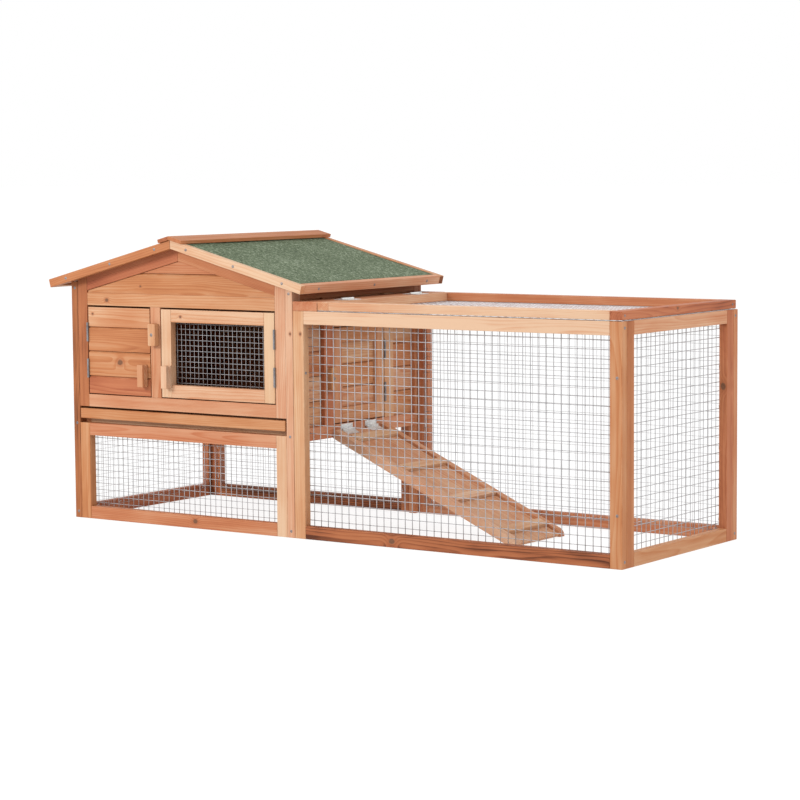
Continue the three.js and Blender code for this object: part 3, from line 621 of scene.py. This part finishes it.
def right_wall():
    """The wall between house and run, with the side door's bay."""
    x0, x1, y0, y1, z0, z1 = extent("house_right_frame")
    bay_low, bay_high, bay_top, jamb = 156, 360, 474, 36
    top = z1 - STICK
    rail = (y0 + STICK + BUTT, y1 - STICK - BUTT)
    sticks = timber("right_wall_sticks", "frame_wood", "house_right_frame")
    sticks.stick(x0, x1, y0, y0 + STICK, z0, z1, "z", tone=0.15, knot=front_knot(663, 467, 2.6))
    sticks.stick(x0, x1, y1 - STICK, y1, z0, z1, "z", tone=0.54)
    sticks.stick(x0, x1, *rail, *MID_RAIL, "y", tone=0.45)
    sticks.stick(x0, x1, *rail, top, z1, "y", tone=0.7)
    half = (x0 + x1) / 2
    for low, high, tone in ((bay_low - jamb, bay_low, 0.56), (bay_high, bay_high + jamb, 0.3)):
        sticks.stick(half, x1, low, high, MID_RAIL[1] + BUTT, top - BUTT, "z", tone=tone)
    sticks.stick(half, x1, bay_low + BUTT, bay_high - BUTT, bay_top, bay_top + STICK, "y", tone=0.5)
    sticks.finish()
    boards = timber("right_wall_boards", "board_wood", "house_right_boards")
    x0, x1, y0, y1, z0, z1 = extent("house_right_boards")
    below = [z for z in joints_below(top) if z < bay_top]
    above = [z for z in joints_below(top) if z > bay_top + 8]
    for low, high in ((y0, bay_low - GAP), (bay_high + GAP, y1)):
        board_rows(boards, rectangle(low, high, z0, bay_top), x0, x1, below, RIGHT, (0.4, 0.28, 0.42, 0.34))
    board_rows(boards, rectangle(y0, y1, bay_top + GAP, z1), x0, x1, above, RIGHT)
    boards.finish()


def gable_sticks(piece, y0, y1, z0, tones):
    """Stiles cut to the roof, and the two rakes between them."""
    x0, x1 = STICK_DEPTH + GAP, HOUSE_WIDTH - STICK_DEPTH - GAP
    lift = ROOF_UNDERSIDE - GAP
    for low, high, tone in ((x0, STILE_EDGE, tones[0]), (HOUSE_WIDTH - STILE_EDGE, x1, tones[1])):
        shape = [(low, z0), (high, z0), (high, roof_z(high, lift)), (low, roof_z(low, lift))]
        piece.slab(shape, "y", y0, y1, "z", tone=tone)
    for side, edge, tone in ((-1, RAIL_ENDS[0], tones[2]), (1, RAIL_ENDS[1], tones[3])):
        x = RIDGE_X + side * 0.1
        shape = [(edge, roof_z(edge, RAKE_DROP)), (x, roof_z(x, RAKE_DROP)),
                 (x, roof_z(x, lift)), (edge, roof_z(edge, lift))]
        piece.slab(shape, "y", y0, y1, slope_direction(side), tone=tone)


def gable_cladding(name, node, joints, outward, **more):
    boards = timber(name, "board_wood", node)
    x0, x1, y0, y1, z0, _ = extent(node)
    board_rows(boards, gable(x0, x1, z0, RAKE_DROP - 2 * GAP), y0, y1, joints, outward, **more)
    boards.finish()


def back_wall():
    y0, y1 = span("house_back_frame", "y")
    sticks = timber("back_wall_sticks", "frame_wood", "house_back_frame")
    gable_sticks(sticks, y0, y1, 0, (0.76, 0.7, 0.5, 0.6))
    # The bottom rail's deep tone, 0.94, is painted shade: the rail stands in the shadow under the house.
    for low, high, tone in ((0, STICK, 0.94), (*MID_RAIL, 0.7)):
        sticks.stick(*RAIL_ENDS, y0, y1, low, high, "x", tone=tone)
    sticks.finish()
    gable_cladding("back_wall_boards", "house_back_boards", joints_below(RAKE_LOW_APEX_Z - 12), BACK)


def front_wall():
    y0, y1 = span("house_front_frame", "y")
    sill = span("house_front_frame", "z")[0]
    head = span("mesh_door_frame", "z")[1] + DOOR_HEADROOM
    sticks = timber("front_wall_sticks", "frame_wood", "house_front_frame")
    # The rakes' deep tones, the left one deepest, are partly painted shade under the bargeboards.
    gable_sticks(sticks, y0, y1, sill, (0.8, 0.24, 0.75, 0.58))
    sticks.stick(*RAIL_ENDS, y0, y1, sill, sill + STICK, "x", tone=0.37)
    sticks.stick(*RAIL_ENDS, y0, y1, head, head + STICK, "x", tone=0.45, knot=front_knot(112, 531, 4.2))
    sticks.stick(*MULLION, y0, y1, sill + STICK + BUTT, head - BUTT, "z", tone=0.4)
    sticks.finish()
    gable_cladding("gable_cladding", "gable_boards", [597], FRONT, tones=(0.54, 0.64),
                   knots={0: front_knot(216, 566, 2.2)})
    stick_frame("lower_panel_sticks", "lower_front_frame", (0.58, 0.16, 0.56, 0.48),
                {BOTTOM: front_knot(376, 17, 5.2)})


# ---- Tray ----
def ring(piece, node, width, low, tones):
    """Four battens round a node's box: two along y, and two along x between them."""
    x0, x1, y0, y1, _, z1 = extent(node)
    pith = PLY_PITH if piece.slot == "plywood" else None
    for x in (x0, x1 - width):
        piece.stick(x, x + width, y0, y1, low, z1, "y", tone=tones[0], pith=pith)
    between = (x0 + width + BUTT, x1 - width - BUTT)
    for y in (y0, y1 - width):
        piece.stick(*between, y, y + width, low, z1, "x", tone=tones[1], pith=pith)


def tray():
    low, high = span("tray_ledge", "z")
    ledge = timber("tray_runners", "frame_wood", "tray_ledge")
    # The runners across get a light tone, 0.15: painted light on the front one, which lies in shade under the
    # tray strip.
    ring(ledge, "tray_ledge", high - low, low, (0.5, 0.15))
    ledge.finish()
    x0, x1, y0, y1, z0, _ = extent("tray_pan")
    rim, base = 8, 4
    pan = timber("tray_bottom", "plywood", "tray_pan", "tray")
    pan.stick(x0, x1, y0, y1, z0, z0 + base, "x", tone=0.35, pith=PLY_PITH)
    ring(pan, "tray_pan", rim, z0 + base + 0.1, (0.4, 0.4))
    pan.finish()
    strip = timber("tray_face_strip", "small_wood", "tray_front", "tray")
    strip.stick(*extent("tray_front"), "x", tone=0.5, bevel=1.2)
    strip.finish()


# ---- Doors ----
def solid_door():
    x0, x1, y0, y1, z0, z1 = extent("solid_door_boards")
    half = (y0 + y1) / 2
    inset = 12
    door = timber("solid_door_planks", "board_wood", "solid_door_boards", "solid_door")
    board_rows(door, rectangle(x0, x1, z0, z1), y0, half, [348, 408, 466], FRONT, (0.68, 0.56, 0.62, 0.42),
               knots={1: front_knot(151, 383, 6.5), 3: front_knot(66, 497, 2.4)})
    for x in (x0 + inset, x1 - inset - STICK):
        door.stick(x, x + STICK, half + BUTT, y1, z0 + inset, z1 - inset, "z", tone=0.5)
    door.finish()
    handle("solid_door_pull", "solid_door", 0.3)


def mesh_door():
    stick_frame("mesh_door_sticks", "mesh_door_frame", (0.1, 0.08, 0.26, 0.22),
                {TOP: front_knot(340, 497, 2.6)}, body="mesh_door")
    handle("mesh_door_pull", "mesh_door", 0.06)


def side_door():
    stick_frame("side_door_sticks", "side_door_frame", (0.46, 0.36, 0.44, 0.46), body="side_door",
                side=31.5, rail=35)
    panel = timber("side_door_boards", "board_wood", "side_door_panel", "side_door")
    x0, x1, y0, y1, z0, z1 = extent("side_door_panel")
    board_rows(panel, rectangle(y0, y1, z0, z1), x0, x1, [331, 385], RIGHT, (0.36, 0.48, 0.4))
    panel.finish()


def handle(name, body, tone):
    """A block with a finger groove down each side."""
    node = body + "_handle"
    x0, x1, y0, y1, z0, z1 = extent(node)
    radius, centre = 4, y1 - 9
    steps = [math.radians(a) for a in range(-90, 91, 30)]
    right = [(x1 - radius * math.cos(a), centre + radius * math.sin(a)) for a in steps]
    left = [(x0 + radius * math.cos(a), centre - radius * math.sin(a)) for a in steps]
    outline = [(x0, y0), (x1, y0), *right, (x1, y1), (x0, y1), *left]
    moulding(name, "small_wood", node, outline, "z", (z0, z1), "z", body, tone=tone, bevel=1.0)


def turn_button(name, body, outward, screw_at):
    """A rounded bar on a central screw; screw_at is its place over the bar's face."""
    spans, thin, wide, _ = flat_box(body)
    (low, high), (a0, a1), (z0, z1) = spans[thin], spans[wide], spans["z"]
    face = Vector([abs(k) * (high if k > 0 else low) for k in outward])
    radius = 4
    corners = [(a1 - radius, z0 + radius, -90), (a1 - radius, z1 - radius, 0),
               (a0 + radius, z1 - radius, 90), (a0 + radius, z0 + radius, 180)]
    outline = []
    for centre, level, start in corners:
        for angle in [math.radians(start + step) for step in range(0, 91, 18)]:
            outline.append((centre + radius * math.cos(angle), level + radius * math.sin(angle)))
    moulding(name, "small_wood", body, outline, thin, (low, high), "z", body, tone=0.36, bevel=1.3)
    screw = Piece(name + "_screw", body, "zinc_hinge", SCREW_ZINC)
    add_screw(screw, Vector(screw_at) + face, outward, 3.9)
    screw.finish()


# ---- Roof ----
def roof():
    for name, side, front_tone in (("left", -1, 0.62), ("right", 1, 0.12)):
        node = "roof_board_" + name
        deck = slope_board(side, ROOF_UNDERSIDE, DECK_TOP, DECK_END)
        moulding("roof_deck_" + name, "plywood", node, deck, "y", span(node, "y"), "y", tone=0.5,
                 pith=PLY_PITH, bevel=0.4)
        for place, tone, end_tone in (("front", front_tone, 0.3), ("back", 0.45, 0.6)):
            node = f"bargeboard_{place}_{name}"
            trim = slope_board(side, -TRIM_WIDTH, 0, EAVE_RUN)
            moulding(f"gable_trim_{place}_{name}", "frame_wood", node, trim, "y", span(node, "y"),
                     slope_direction(side), tone=tone, bevel=1.1, end_tone=end_tone)
        node = "eave_fascia_" + name
        y0, y1 = span(node, "y")
        start = EAVE_RUN - FASCIA
        corners = rectangle(start, EAVE_RUN, -TRIM_WIDTH, 0)
        outline = [slope_point(side, run, lift) for run, lift in corners]
        moulding("eave_trim_" + name, "frame_wood", node, outline, "y", (y0 + 0.1, y1 - 0.1), "y",
                 tone=0.3, bevel=1.1)


def ridge_boards():
    """Two boards along the ridge, the right one running over the top edge of the left one."""
    y0, y1 = span("ridge_cap", "y")
    low, high = GAP, GAP + CAP_THICKNESS
    foot = (RIDGE_X, roof_z(RIDGE_X, low))
    shoulder = slope_point(-1, 0, high)
    cap = timber("ridge_boards", "frame_wood", "ridge_cap")
    right = [foot, slope_point(1, CAP_ARMS[1], low), slope_point(1, CAP_ARMS[1], high),
             (RIDGE_X, roof_z(RIDGE_X, high)), shoulder]
    cap.slab(right, "y", y0, y1, "y", tone=0.6, bevel=0.9)
    gap = slope_direction(-1) * GAP
    left = [(foot[0] + gap.x, foot[1] + gap.z), (shoulder[0] + gap.x, shoulder[1] + gap.z),
            slope_point(-1, CAP_ARMS[0], high), slope_point(-1, CAP_ARMS[0], low)]
    cap.slab(left, "y", y0, y1, "y", tone=0.66, bevel=0.9)
    cap.finish()


def felt_sheet():
    """One sheet over both slopes, with slight waves and a rounded fold at the ridge."""
    y0, y1 = span("roof_felt", "y")
    rand = random.Random("felt")
    waves = [(rand.uniform(0.008, 0.03), rand.uniform(0.006, 0.03), rand.uniform(0, 6.3)) for _ in range(5)]
    runs, rows = 44, 30
    columns = [DECK_END * (i / runs * 2 - 1) for i in range(runs + 1)]
    points, faces = [], []
    for top in (False, True):
        for run in columns:
            for j in range(rows + 1):
                y = y0 + (y1 - y0) * j / rows
                lift = FELT_TOP if top else FELT_BOTTOM
                if top:
                    lift += sum(math.sin(run * a + y * b + c) for a, b, c in waves) * 0.11
                if abs(run) > 1:
                    x, z = slope_point(-1 if run < 0 else 1, abs(run), lift)
                else:
                    x, z = RIDGE_X, roof_z(RIDGE_X, lift) - 0.3
                points.append((x, y, z))
    count = rows + 1
    layer = (runs + 1) * count
    for i in range(runs):
        for j in range(rows):
            a, b = i * count + j, (i + 1) * count + j
            faces.append((a, a + 1, b + 1, b))
            faces.append(tuple(layer + k for k in (a, b, b + 1, a + 1)))
    rim = [i * count for i in range(runs + 1)] + [runs * count + j for j in range(1, count)]
    rim += [i * count + rows for i in range(runs - 1, -1, -1)] + list(range(rows - 1, 0, -1))
    for a, b in zip(rim, rim[1:] + rim[:1]):
        faces.append((a, b, layer + b, layer + a))
    sheet = Piece("roofing_felt", "hutch", "roof_felt", FELT, "roof_felt")
    sheet.add(points, faces, smooth=True)
    sheet.finish()


# ---- Run ----
def run():
    stick_frame("run_front_sticks", "run_front_frame", (0.26, 0.48, 0.82, 0.04),
                {LOW: front_knot(692, 468, 2.6), BOTTOM: front_knot(941, 14, 6.4)})
    stick_frame("run_back_sticks", "run_back_frame", (0.6, 0.6, 0.5, 0.6))
    stick_frame("run_end_sticks", "run_end_frame", (0.76, 0.66, 0.42, 0.4),
                {HIGH: front_knot(1520, 350, 6.5)})
    beam = timber("lid_hinge_board", "frame_wood", "hinge_beam")
    beam.stick(*extent("hinge_beam"), "y", tone=0.42)
    beam.finish()


def lid():
    x0, x1, y0, y1, z0, z1 = extent("lid_frame")
    end_knot = ((1529, 239, 536), 3.5, RIGHT)
    sticks = timber("lid_sticks", "frame_wood", "lid_frame", "lid")
    for low, high, tone, knot in ((x0, x0 + STICK, 0.3, None), (x1 - STICK, x1, 0.68, end_knot)):
        sticks.stick(low, high, y0, y1, z0, z1, "y", tone=tone, knot=knot, bevel=1.3)
    for low, high, tone in ((y0, y0 + STICK, 0.14), (y1 - STICK, y1, 0.56)):
        sticks.stick(x0 + STICK + BUTT, x1 - STICK - BUTT, low, high, z0, z1, "x", tone=tone, bevel=1.3)
    sticks.finish()


# ---- Ramp ----
RAMP_PIN = joint_point("ramp_hinge")
RAMP_FRONT = span("ramp_rail_front", "y")[0]
RAMP_WIDTH = span("ramp_rail_back", "y")[1] - RAMP_FRONT
RAMP_TURN = Matrix.Rotation(RAMP_ANGLE, 4, "Y")
RAMP_MATRIX = Matrix.Translation((RAMP_PIN.x, RAMP_FRONT, RAMP_PIN.z)) @ RAMP_TURN
RAMP_TOP = 4  # heights on the ramp are from the pin, square to the slope
RAMP_FLOOR = RAMP_TOP - 6.6
RAMP_START = 3.2  # down the slope from the pin, as is FLOOR_END
RAIL_HEIGHT = 21
RAIL_WIDTH = 20
FLOOR_END = 549
CLEAT_WIDTH = 24
CLEAT_RISE = 2.4


def ramp():
    """Built along its slope: x runs down from the hinge pin, z is square to the slope."""
    low = RAMP_TOP - RAIL_HEIGHT
    foot = (RAMP_PIN.z + low * math.cos(RAMP_ANGLE) - 0.5) / math.sin(RAMP_ANGLE)
    nose = [RAMP_ANGLE + (math.pi / 2 - RAMP_ANGLE) * i / 7 for i in range(8)]
    curve = [(foot + RAIL_HEIGHT * math.cos(a), low + RAIL_HEIGHT * math.sin(a)) for a in nose]
    outline = [(RAMP_START, low), (foot, low), *curve, (RAMP_START, RAMP_TOP)]
    for place, y0, tone in (("front", 0, 0.16), ("back", RAMP_WIDTH - RAIL_WIDTH, 0.4)):
        reach = (y0, y0 + RAIL_WIDTH)
        moulding("ramp_side_" + place, "frame_wood", "ramp_rail_" + place, outline, "y", reach, "x", "ramp",
                 RAMP_MATRIX, tone=tone, bevel=1.0)
    between = (RAIL_WIDTH + GAP, RAMP_WIDTH - RAIL_WIDTH - GAP)
    board = Piece("ramp_floor", "ramp", "board_wood", RAMP_WOOD, "ramp_board", RAMP_MATRIX)
    floor = rectangle(RAMP_START, FLOOR_END, RAMP_FLOOR - 6, RAMP_FLOOR)
    board.slab(floor, "y", *between, "x", tone=0.3, bevel=0.5, pith=0.03)
    board.finish()
    for i in range(4):
        end = 58 + 151 * i
        shape = rectangle(end - CLEAT_WIDTH, end, RAMP_FLOOR + GAP, RAMP_TOP + CLEAT_RISE)
        moulding(f"ramp_tread_{i + 1}", "small_wood", f"ramp_cleat_{i + 1}", shape, "y", between, "y", "ramp",
                 RAMP_MATRIX, tone=0.2, bevel=1.0)


# ---- Wire mesh ----
WIRE_SWAY = 0.14  # in the plane of the mesh
WIRE_BOW = 0.06  # out of it
WIRE_BEND_PITCH = 62
STAPLE_HALF = 4.5
STAPLE_INSET = 5
STAPLE_PITCH = 92
STAPLE_MARGIN = 25  # from the first staple to the corner of the mesh


def tube(piece, points, radius, sides=6):
    """A round wire through points, closed at both ends."""
    rings = []
    for i, point in enumerate(points):
        before, after = points[max(i - 1, 0)], points[min(i + 1, len(points) - 1)]
        along = (after - before).normalized()
        side = along.orthogonal().normalized()
        up = along.cross(side)
        turns = [2 * math.pi * k / sides for k in range(sides)]
        rings.append([point + (side * math.cos(t) + up * math.sin(t)) * radius for t in turns])
    vertices = [p for ring in rings for p in ring]
    faces = [tuple(range(sides))[::-1], tuple(range(len(vertices) - sides, len(vertices)))]
    for i in range(len(points) - 1):
        for k in range(sides):
            a, b = i * sides + k, i * sides + (k + 1) % sides
            faces.append((a, b, b + sides, a + sides))
    piece.add(vertices, faces, smooth=True)


def wire_panel(name, body, node, pitch, gauge, coat):
    """Welded mesh filling a node's box, its wires very slightly bent."""
    spans, thin, wide, tall = flat_box(node)
    rand = random.Random(name)
    panel = Piece(name, body, "galvanised_wire", coat, node)
    for along, other, layer in ((tall, wide, -0.5), (wide, tall, 0.5)):
        level = middle(node, thin) + layer * gauge * 0.9
        low, high = spans[other][0] + gauge, spans[other][1] - gauge
        start, stop = spans[along][0] + GAP, spans[along][1] - GAP
        count = max(2, round((high - low) / pitch))
        steps = max(2, round((stop - start) / WIRE_BEND_PITCH))
        for i in range(count + 1):
            base = low + (high - low) * i / count
            points = []
            for s in range(steps + 1):
                sway, bow = rand.gauss(0, WIRE_SWAY), rand.gauss(0, WIRE_BOW)
                at = {along: start + (stop - start) * s / steps, thin: level + bow}
                at[other] = min(max(base + sway, low), high)
                points.append(Vector([at[k] for k in "xyz"]))
            tube(panel, points, gauge / 2)
    panel.finish()


def staples(name, body, node, inward):
    """Fencing staples round the edge of a mesh, driven through it into the frame behind."""
    spans, thin, wide, tall = flat_box(node)
    foot, face = spans[thin] if inward > 0 else spans[thin][::-1]
    bridge = face + inward * 0.5
    rand = random.Random(name)
    piece = Piece(name, body, "galvanised_wire", ZINC)
    for along, across in ((wide, tall), (tall, wide)):
        low, high = spans[along][0] + STAPLE_MARGIN, spans[along][1] - STAPLE_MARGIN
        count = max(1, round((high - low) / STAPLE_PITCH))
        for edge in (spans[across][0] + STAPLE_INSET, spans[across][1] - STAPLE_INSET):
            for i in range(count + 1):
                centre = low + (high - low) * i / count + rand.uniform(-9, 9)
                lean = rand.uniform(-1.4, 1.4)
                points = []
                for end, level in ((-1, foot), (-1, bridge), (1, bridge), (1, foot)):
                    at = {along: centre + end * STAPLE_HALF, across: edge + end * lean, thin: level}
                    points.append(Vector([at[k] for k in "xyz"]))
                tube(piece, points, 0.5)
    piece.finish()


def meshes():
    panels = (
        ("lower_wire_left", "hutch", "house_left_mesh", 16, 0.6, 1),
        ("lower_wire_back", "hutch", "house_back_mesh", 16, 0.6, -1),
        ("lower_wire_front", "hutch", "lower_front_mesh", 16, 1.45, 1),
        ("door_wire", "mesh_door", "mesh_door_mesh", 12.7, 1.1, 1),
        ("run_wire_front", "hutch", "run_front_mesh", 19.5, 1.75, 1),
        ("run_wire_end", "hutch", "run_end_mesh", 19.5, 1.6, -1),
        ("run_wire_back", "hutch", "run_back_mesh", 19.5, 0.9, -1),
    )
    for name, body, node, pitch, gauge, inward in panels:
        wire_panel(name, body, node, pitch, gauge, WIRE)
        staples(name + "_staples", body, node, inward)
    # The lid's wire uses the lighter copy: painted highlight.
    wire_panel("lid_wire", "lid", "lid_mesh", 19.5, 0.7, TOP_LIT_WIRE)


# ---- Screws and hinges ----
HINGE_HALF = 22.8
FIXED_KNUCKLES = ((-HINGE_HALF, -14), (-4.6, 4.6), (14, HINGE_HALF))
MOVING_KNUCKLES = ((-13.8, -4.8), (4.8, 13.8))
LEAF_EASE = 0.25


def add_screw(piece, at, outward, radius=3.3):
    """A raised countersunk head with a cross recess."""
    arm, half = radius * 0.52, radius * 0.15
    cross, quarter = [], [(arm, -half), (arm, half), (half, half)]
    for _ in range(4):
        cross += quarter
        quarter = [(-y, x) for x, y in quarter]
    sides, corners = 24, len(cross)
    turns = [math.radians(-22.5 + 15 * k) for k in range(sides)]
    circle = [(radius * math.cos(a), radius * math.sin(a)) for a in turns]
    rings = [
        [(x, y, -0.3) for x, y in circle],
        [(x, y, 0.2) for x, y in circle],
        [(0.86 * x, 0.86 * y, 0.45) for x, y in circle],
        [(x, y, 0.62) for x, y in cross],
        [(x * 0.8, y * 0.8, -0.25) for x, y in cross],
    ]
    faces = [tuple(range(sides))[::-1]]
    for base in (0, sides):
        for k in range(sides):
            n = (k + 1) % sides
            faces.append((base + k, base + n, base + sides + n, base + sides + k))
    rim, slot, floor = 2 * sides, 3 * sides, 3 * sides + corners
    for k in range(corners):
        n = (k + 1) % corners
        faces.append((rim + 2 * k, rim + 2 * k + 1, rim + (2 * k + 2) % sides, slot + n, slot + k))
        faces.append((slot + k, slot + n, floor + n, floor + k))
    faces.append(tuple(range(floor, floor + corners)))
    normal = Vector(outward).normalized()
    spin = Matrix.Rotation(piece.random.uniform(0, math.pi / 2), 4, "Z")
    turn = normal.to_track_quat("Z", "Y").to_matrix().to_4x4() @ spin
    piece.add([turn @ Vector(p) + Vector(at) for ring in rings for p in ring], faces)


def screws():
    hutch = Piece("hutch_screws", "hutch", "zinc_hinge", SCREW_ZINC)
    left, right = 10, HOUSE_WIDTH - 10
    for x, z in ((left, 558), (left, 231), (left, 15), (right, 558), (right, 232), (right, 15)):
        add_screw(hutch, (x, 0, z), FRONT)
        add_screw(hutch, (x, DEPTH, z), BACK)
    for y in (20, DEPTH - 20):
        for z in (15, 232, 558):
            add_screw(hutch, (0, y, z), LEFT)
    for side in (-1, 1):
        for down in (52, 196, 341):
            x, z = slope_point(side, down, -TRIM_WIDTH / 2)
            add_screw(hutch, (x, TRIM_FRONT, z), FRONT)
            add_screw(hutch, (x, DEPTH - TRIM_FRONT, z), BACK)
        for y in (41, DEPTH / 2, DEPTH - 41):
            x, z = slope_point(side, EAVE_RUN, -TRIM_WIDTH / 2)
            add_screw(hutch, (x, y, z), slope_direction(side))
    run_end = span("run_front_frame", "x")[1]
    for z in (113, 402):
        add_screw(hutch, (run_end - 12, 0, z), FRONT)
    for z in (15, 506):
        for y in (11, DEPTH - 11):
            add_screw(hutch, (run_end, y, z), RIGHT)
    add_screw(hutch, (701, 8, 379), RIGHT)
    hutch.finish()
    lid_screws = Piece("lid_screws", "lid", "zinc_hinge", SCREW_ZINC)
    for y in (12.5, 492):
        add_screw(lid_screws, (span("lid_frame", "x")[1], y, middle("lid_frame", "z")), RIGHT, 2.8)
    lid_screws.finish()


def barrel(piece, centre, axis, lengths, radius=2.4):
    """Hinge knuckles: cylinders along an axis, each given by its start and end from the centre."""
    i = "xyz".index(axis)
    a, b = PLANE[axis]
    circle = [2 * math.pi * k / 20 for k in range(20)]
    outline = [(centre[a] + radius * math.cos(t), centre[b] + radius * math.sin(t)) for t in circle]
    for start, end in lengths:
        piece.slab(outline, axis, centre[i] + start, centre[i] + end, axis, bevel=0.3)


def hinge(name, body, node, axis, centre, fixed_leaf, moving_leaf, fixed_screws=(), moving_screws=(),
          coat=SCREW_ZINC):
    """A butt hinge in two halves. A leaf is a box of offsets from the pin: (x0, x1, y0, y1, z0, z1)."""
    halves = (
        (name + "_fixed", "hutch", node, FIXED_KNUCKLES, fixed_leaf, fixed_screws),
        (name + "_moving", body, (), MOVING_KNUCKLES, moving_leaf, moving_screws),
    )
    pin = Vector(centre)
    for piece_name, rides, nodes, knuckles, leaf, heads in halves:
        half = Piece(piece_name, rides, "zinc_hinge", coat, nodes)
        barrel(half, centre, axis, knuckles)
        half.stick(*[pin[i // 2] + offset for i, offset in enumerate(leaf)], axis, bevel=LEAF_EASE)
        for offset, outward in heads:
            add_screw(half, pin + Vector(offset), outward, 2.6)
        half.finish()


def hinges():
    length = (-HINGE_HALF, HINGE_HALF)
    plus, minus = (0.15, 0.95), (-0.95, -0.15)  # either side of the pin
    doors = (
        ("solid_door", (*minus, 1.5, 18), (*plus, 1.5, 18)),
        ("mesh_door", (*plus, 1.5, 18), (*minus, 1.5, 18)),
        ("side_door", (-18, -1.5, *plus), (-18, -1.5, *minus)),
    )
    for door, fixed, moving in doors:
        pin = joint_point(door + "_hinge")
        for place in ("upper", "lower"):
            node = f"{door}_hinge_{place}"
            centre = (pin.x, pin.y, middle(node, "z"))
            hinge(f"{door}_butt_{place}", door, node, "z", centre, (*fixed, *length), (*moving, *length))
    pin = joint_point("lid_hinge")
    fixed_screws, moving_screws = ([((x, y, -1.3), UP) for y in (-15, 0, 15)] for x in (-13, 13))
    for place in ("front", "back"):
        node = "lid_hinge_" + place
        hinge("lid_butt_" + place, "lid", node, "y", (pin.x, middle(node, "y"), pin.z),
              (-22, -1, *length, -2.4, -1.2), (1, 22, *length, -2.4, -1.2), fixed_screws, moving_screws,
              coat=ZINC)
    ramp_hinges()


def ramp_hinges():
    """One leaf upright on the wall's rail, the other lying on the ramp."""
    wall = HOUSE_WIDTH + GAP
    for place in ("front", "back"):
        node = "ramp_hinge_" + place
        centre = Vector((RAMP_PIN.x, middle(node, "y"), RAMP_PIN.z))
        y0, y1 = centre.y - HINGE_HALF, centre.y + HINGE_HALF
        fixed = Piece(f"ramp_butt_{place}_fixed", "hutch", "zinc_hinge", ZINC, node)
        barrel(fixed, centre, "y", FIXED_KNUCKLES)
        fixed.stick(wall, wall + 1.1, y0, y1, centre.z - 1, centre.z + 12.5, "y", bevel=LEAF_EASE)
        fixed.stick(wall + 1.2, centre.x - 1.5, y0, y1, centre.z - 0.5, centre.z + 0.6, "y", bevel=0.2)
        for y in (-14, 14):
            add_screw(fixed, (wall + 1.0, centre.y + y, centre.z + 7), RIGHT, 2.4)
        fixed.finish()
        turned = Matrix.Translation(centre) @ RAMP_TURN
        moving = Piece(f"ramp_butt_{place}_moving", "ramp", "zinc_hinge", ZINC, (), turned)
        barrel(moving, (0, 0, 0), "y", MOVING_KNUCKLES)
        leaf = (1.5, 19, -HINGE_HALF, HINGE_HALF, RAMP_FLOOR + 0.1, RAMP_FLOOR + 1.3)
        moving.stick(*leaf, "y", bevel=LEAF_EASE)
        for y in (-14, 14):
            add_screw(moving, (12, y, RAMP_FLOOR + 1.2), UP, 2.4)
        moving.finish()


# ---- Stage, light and camera ----
CAMERA_AT = Vector((3.4053, -4.7930, 0.8448))
CAMERA_AZIMUTH = math.radians(35.037)
CAMERA_ELEVATION = math.radians(5.301)
CAMERA_ROLL = math.radians(-0.4617)
CAMERA_LENS = 113.5
WORLD_STRENGTH = 1.0
FLOOR_SIZE = 160
FLOOR_DROP = 0.0004  # keeps the floor just clear of the part's underside
LIGHT_TARGET = Vector((0, 0, 0.3))


def put(name, data, at, turn):
    """Adds a camera or a light, turned and moved to its place."""
    obj = bpy.data.objects.new(name, data)
    obj.matrix_world = Matrix.Translation(at) @ turn.to_4x4()
    bpy.context.scene.collection.objects.link(obj)
    return obj


def camera():
    back = Vector((math.sin(CAMERA_AZIMUTH) * math.cos(CAMERA_ELEVATION),
                   -math.cos(CAMERA_AZIMUTH) * math.cos(CAMERA_ELEVATION), math.sin(CAMERA_ELEVATION)))
    right = (-back).cross(AXES["z"]).normalized()
    up = right.cross(-back)
    c, s = math.cos(CAMERA_ROLL), math.sin(CAMERA_ROLL)
    columns = (right * c + up * s, up * c - right * s, back)
    data = bpy.data.cameras.new("camera")
    data.lens = CAMERA_LENS
    data.sensor_width = 36
    data.clip_end = 200
    bpy.context.scene.camera = put("camera", data, CAMERA_AT, Matrix(columns).transposed())


def area_light(name, at, size, power):
    """A soft rectangular light, its size in metres and its power in watts."""
    data = bpy.data.lights.new(name, "AREA")
    data.shape = "RECTANGLE"
    data.size, data.size_y = size
    data.energy = power
    away = Vector(at) - LIGHT_TARGET
    put(name, data, at, away.to_track_quat("Z", "Y").to_matrix())


def stage():
    bpy.ops.mesh.primitive_grid_add(x_subdivisions=8, y_subdivisions=8, size=FLOOR_SIZE,
                                    location=(0, 0, -FLOOR_DROP))
    floor = bpy.context.object
    floor.name = "floor"
    floor.data.materials.append(floor_paint())
    world = bpy.data.worlds.new("studio")
    world.use_nodes = True
    background = world.node_tree.nodes["Background"]
    background.inputs["Color"].default_value = grey(1)
    background.inputs["Strength"].default_value = WORLD_STRENGTH
    bpy.context.scene.world = world
    area_light("key", (-1.9, -3.7, 1.9), (1.3, 0.9), 111)
    area_light("fill", (2.4, -0.6, 2.6), (2.2, 1.6), 46)
    view = bpy.context.scene.view_settings
    view.view_transform = "Standard"
    view.look = "None"


left_wall()
right_wall()
back_wall()
front_wall()
tray()
solid_door()
mesh_door()
side_door()
turn_button("front_button", "front_turn_button", FRONT, (263, 0, 453))
turn_button("side_button", "side_turn_button", RIGHT, (0, 138, 356))
roof()
ridge_boards()
felt_sheet()
run()
lid()
ramp()
meshes()
screws()
hinges()
stage()
camera()
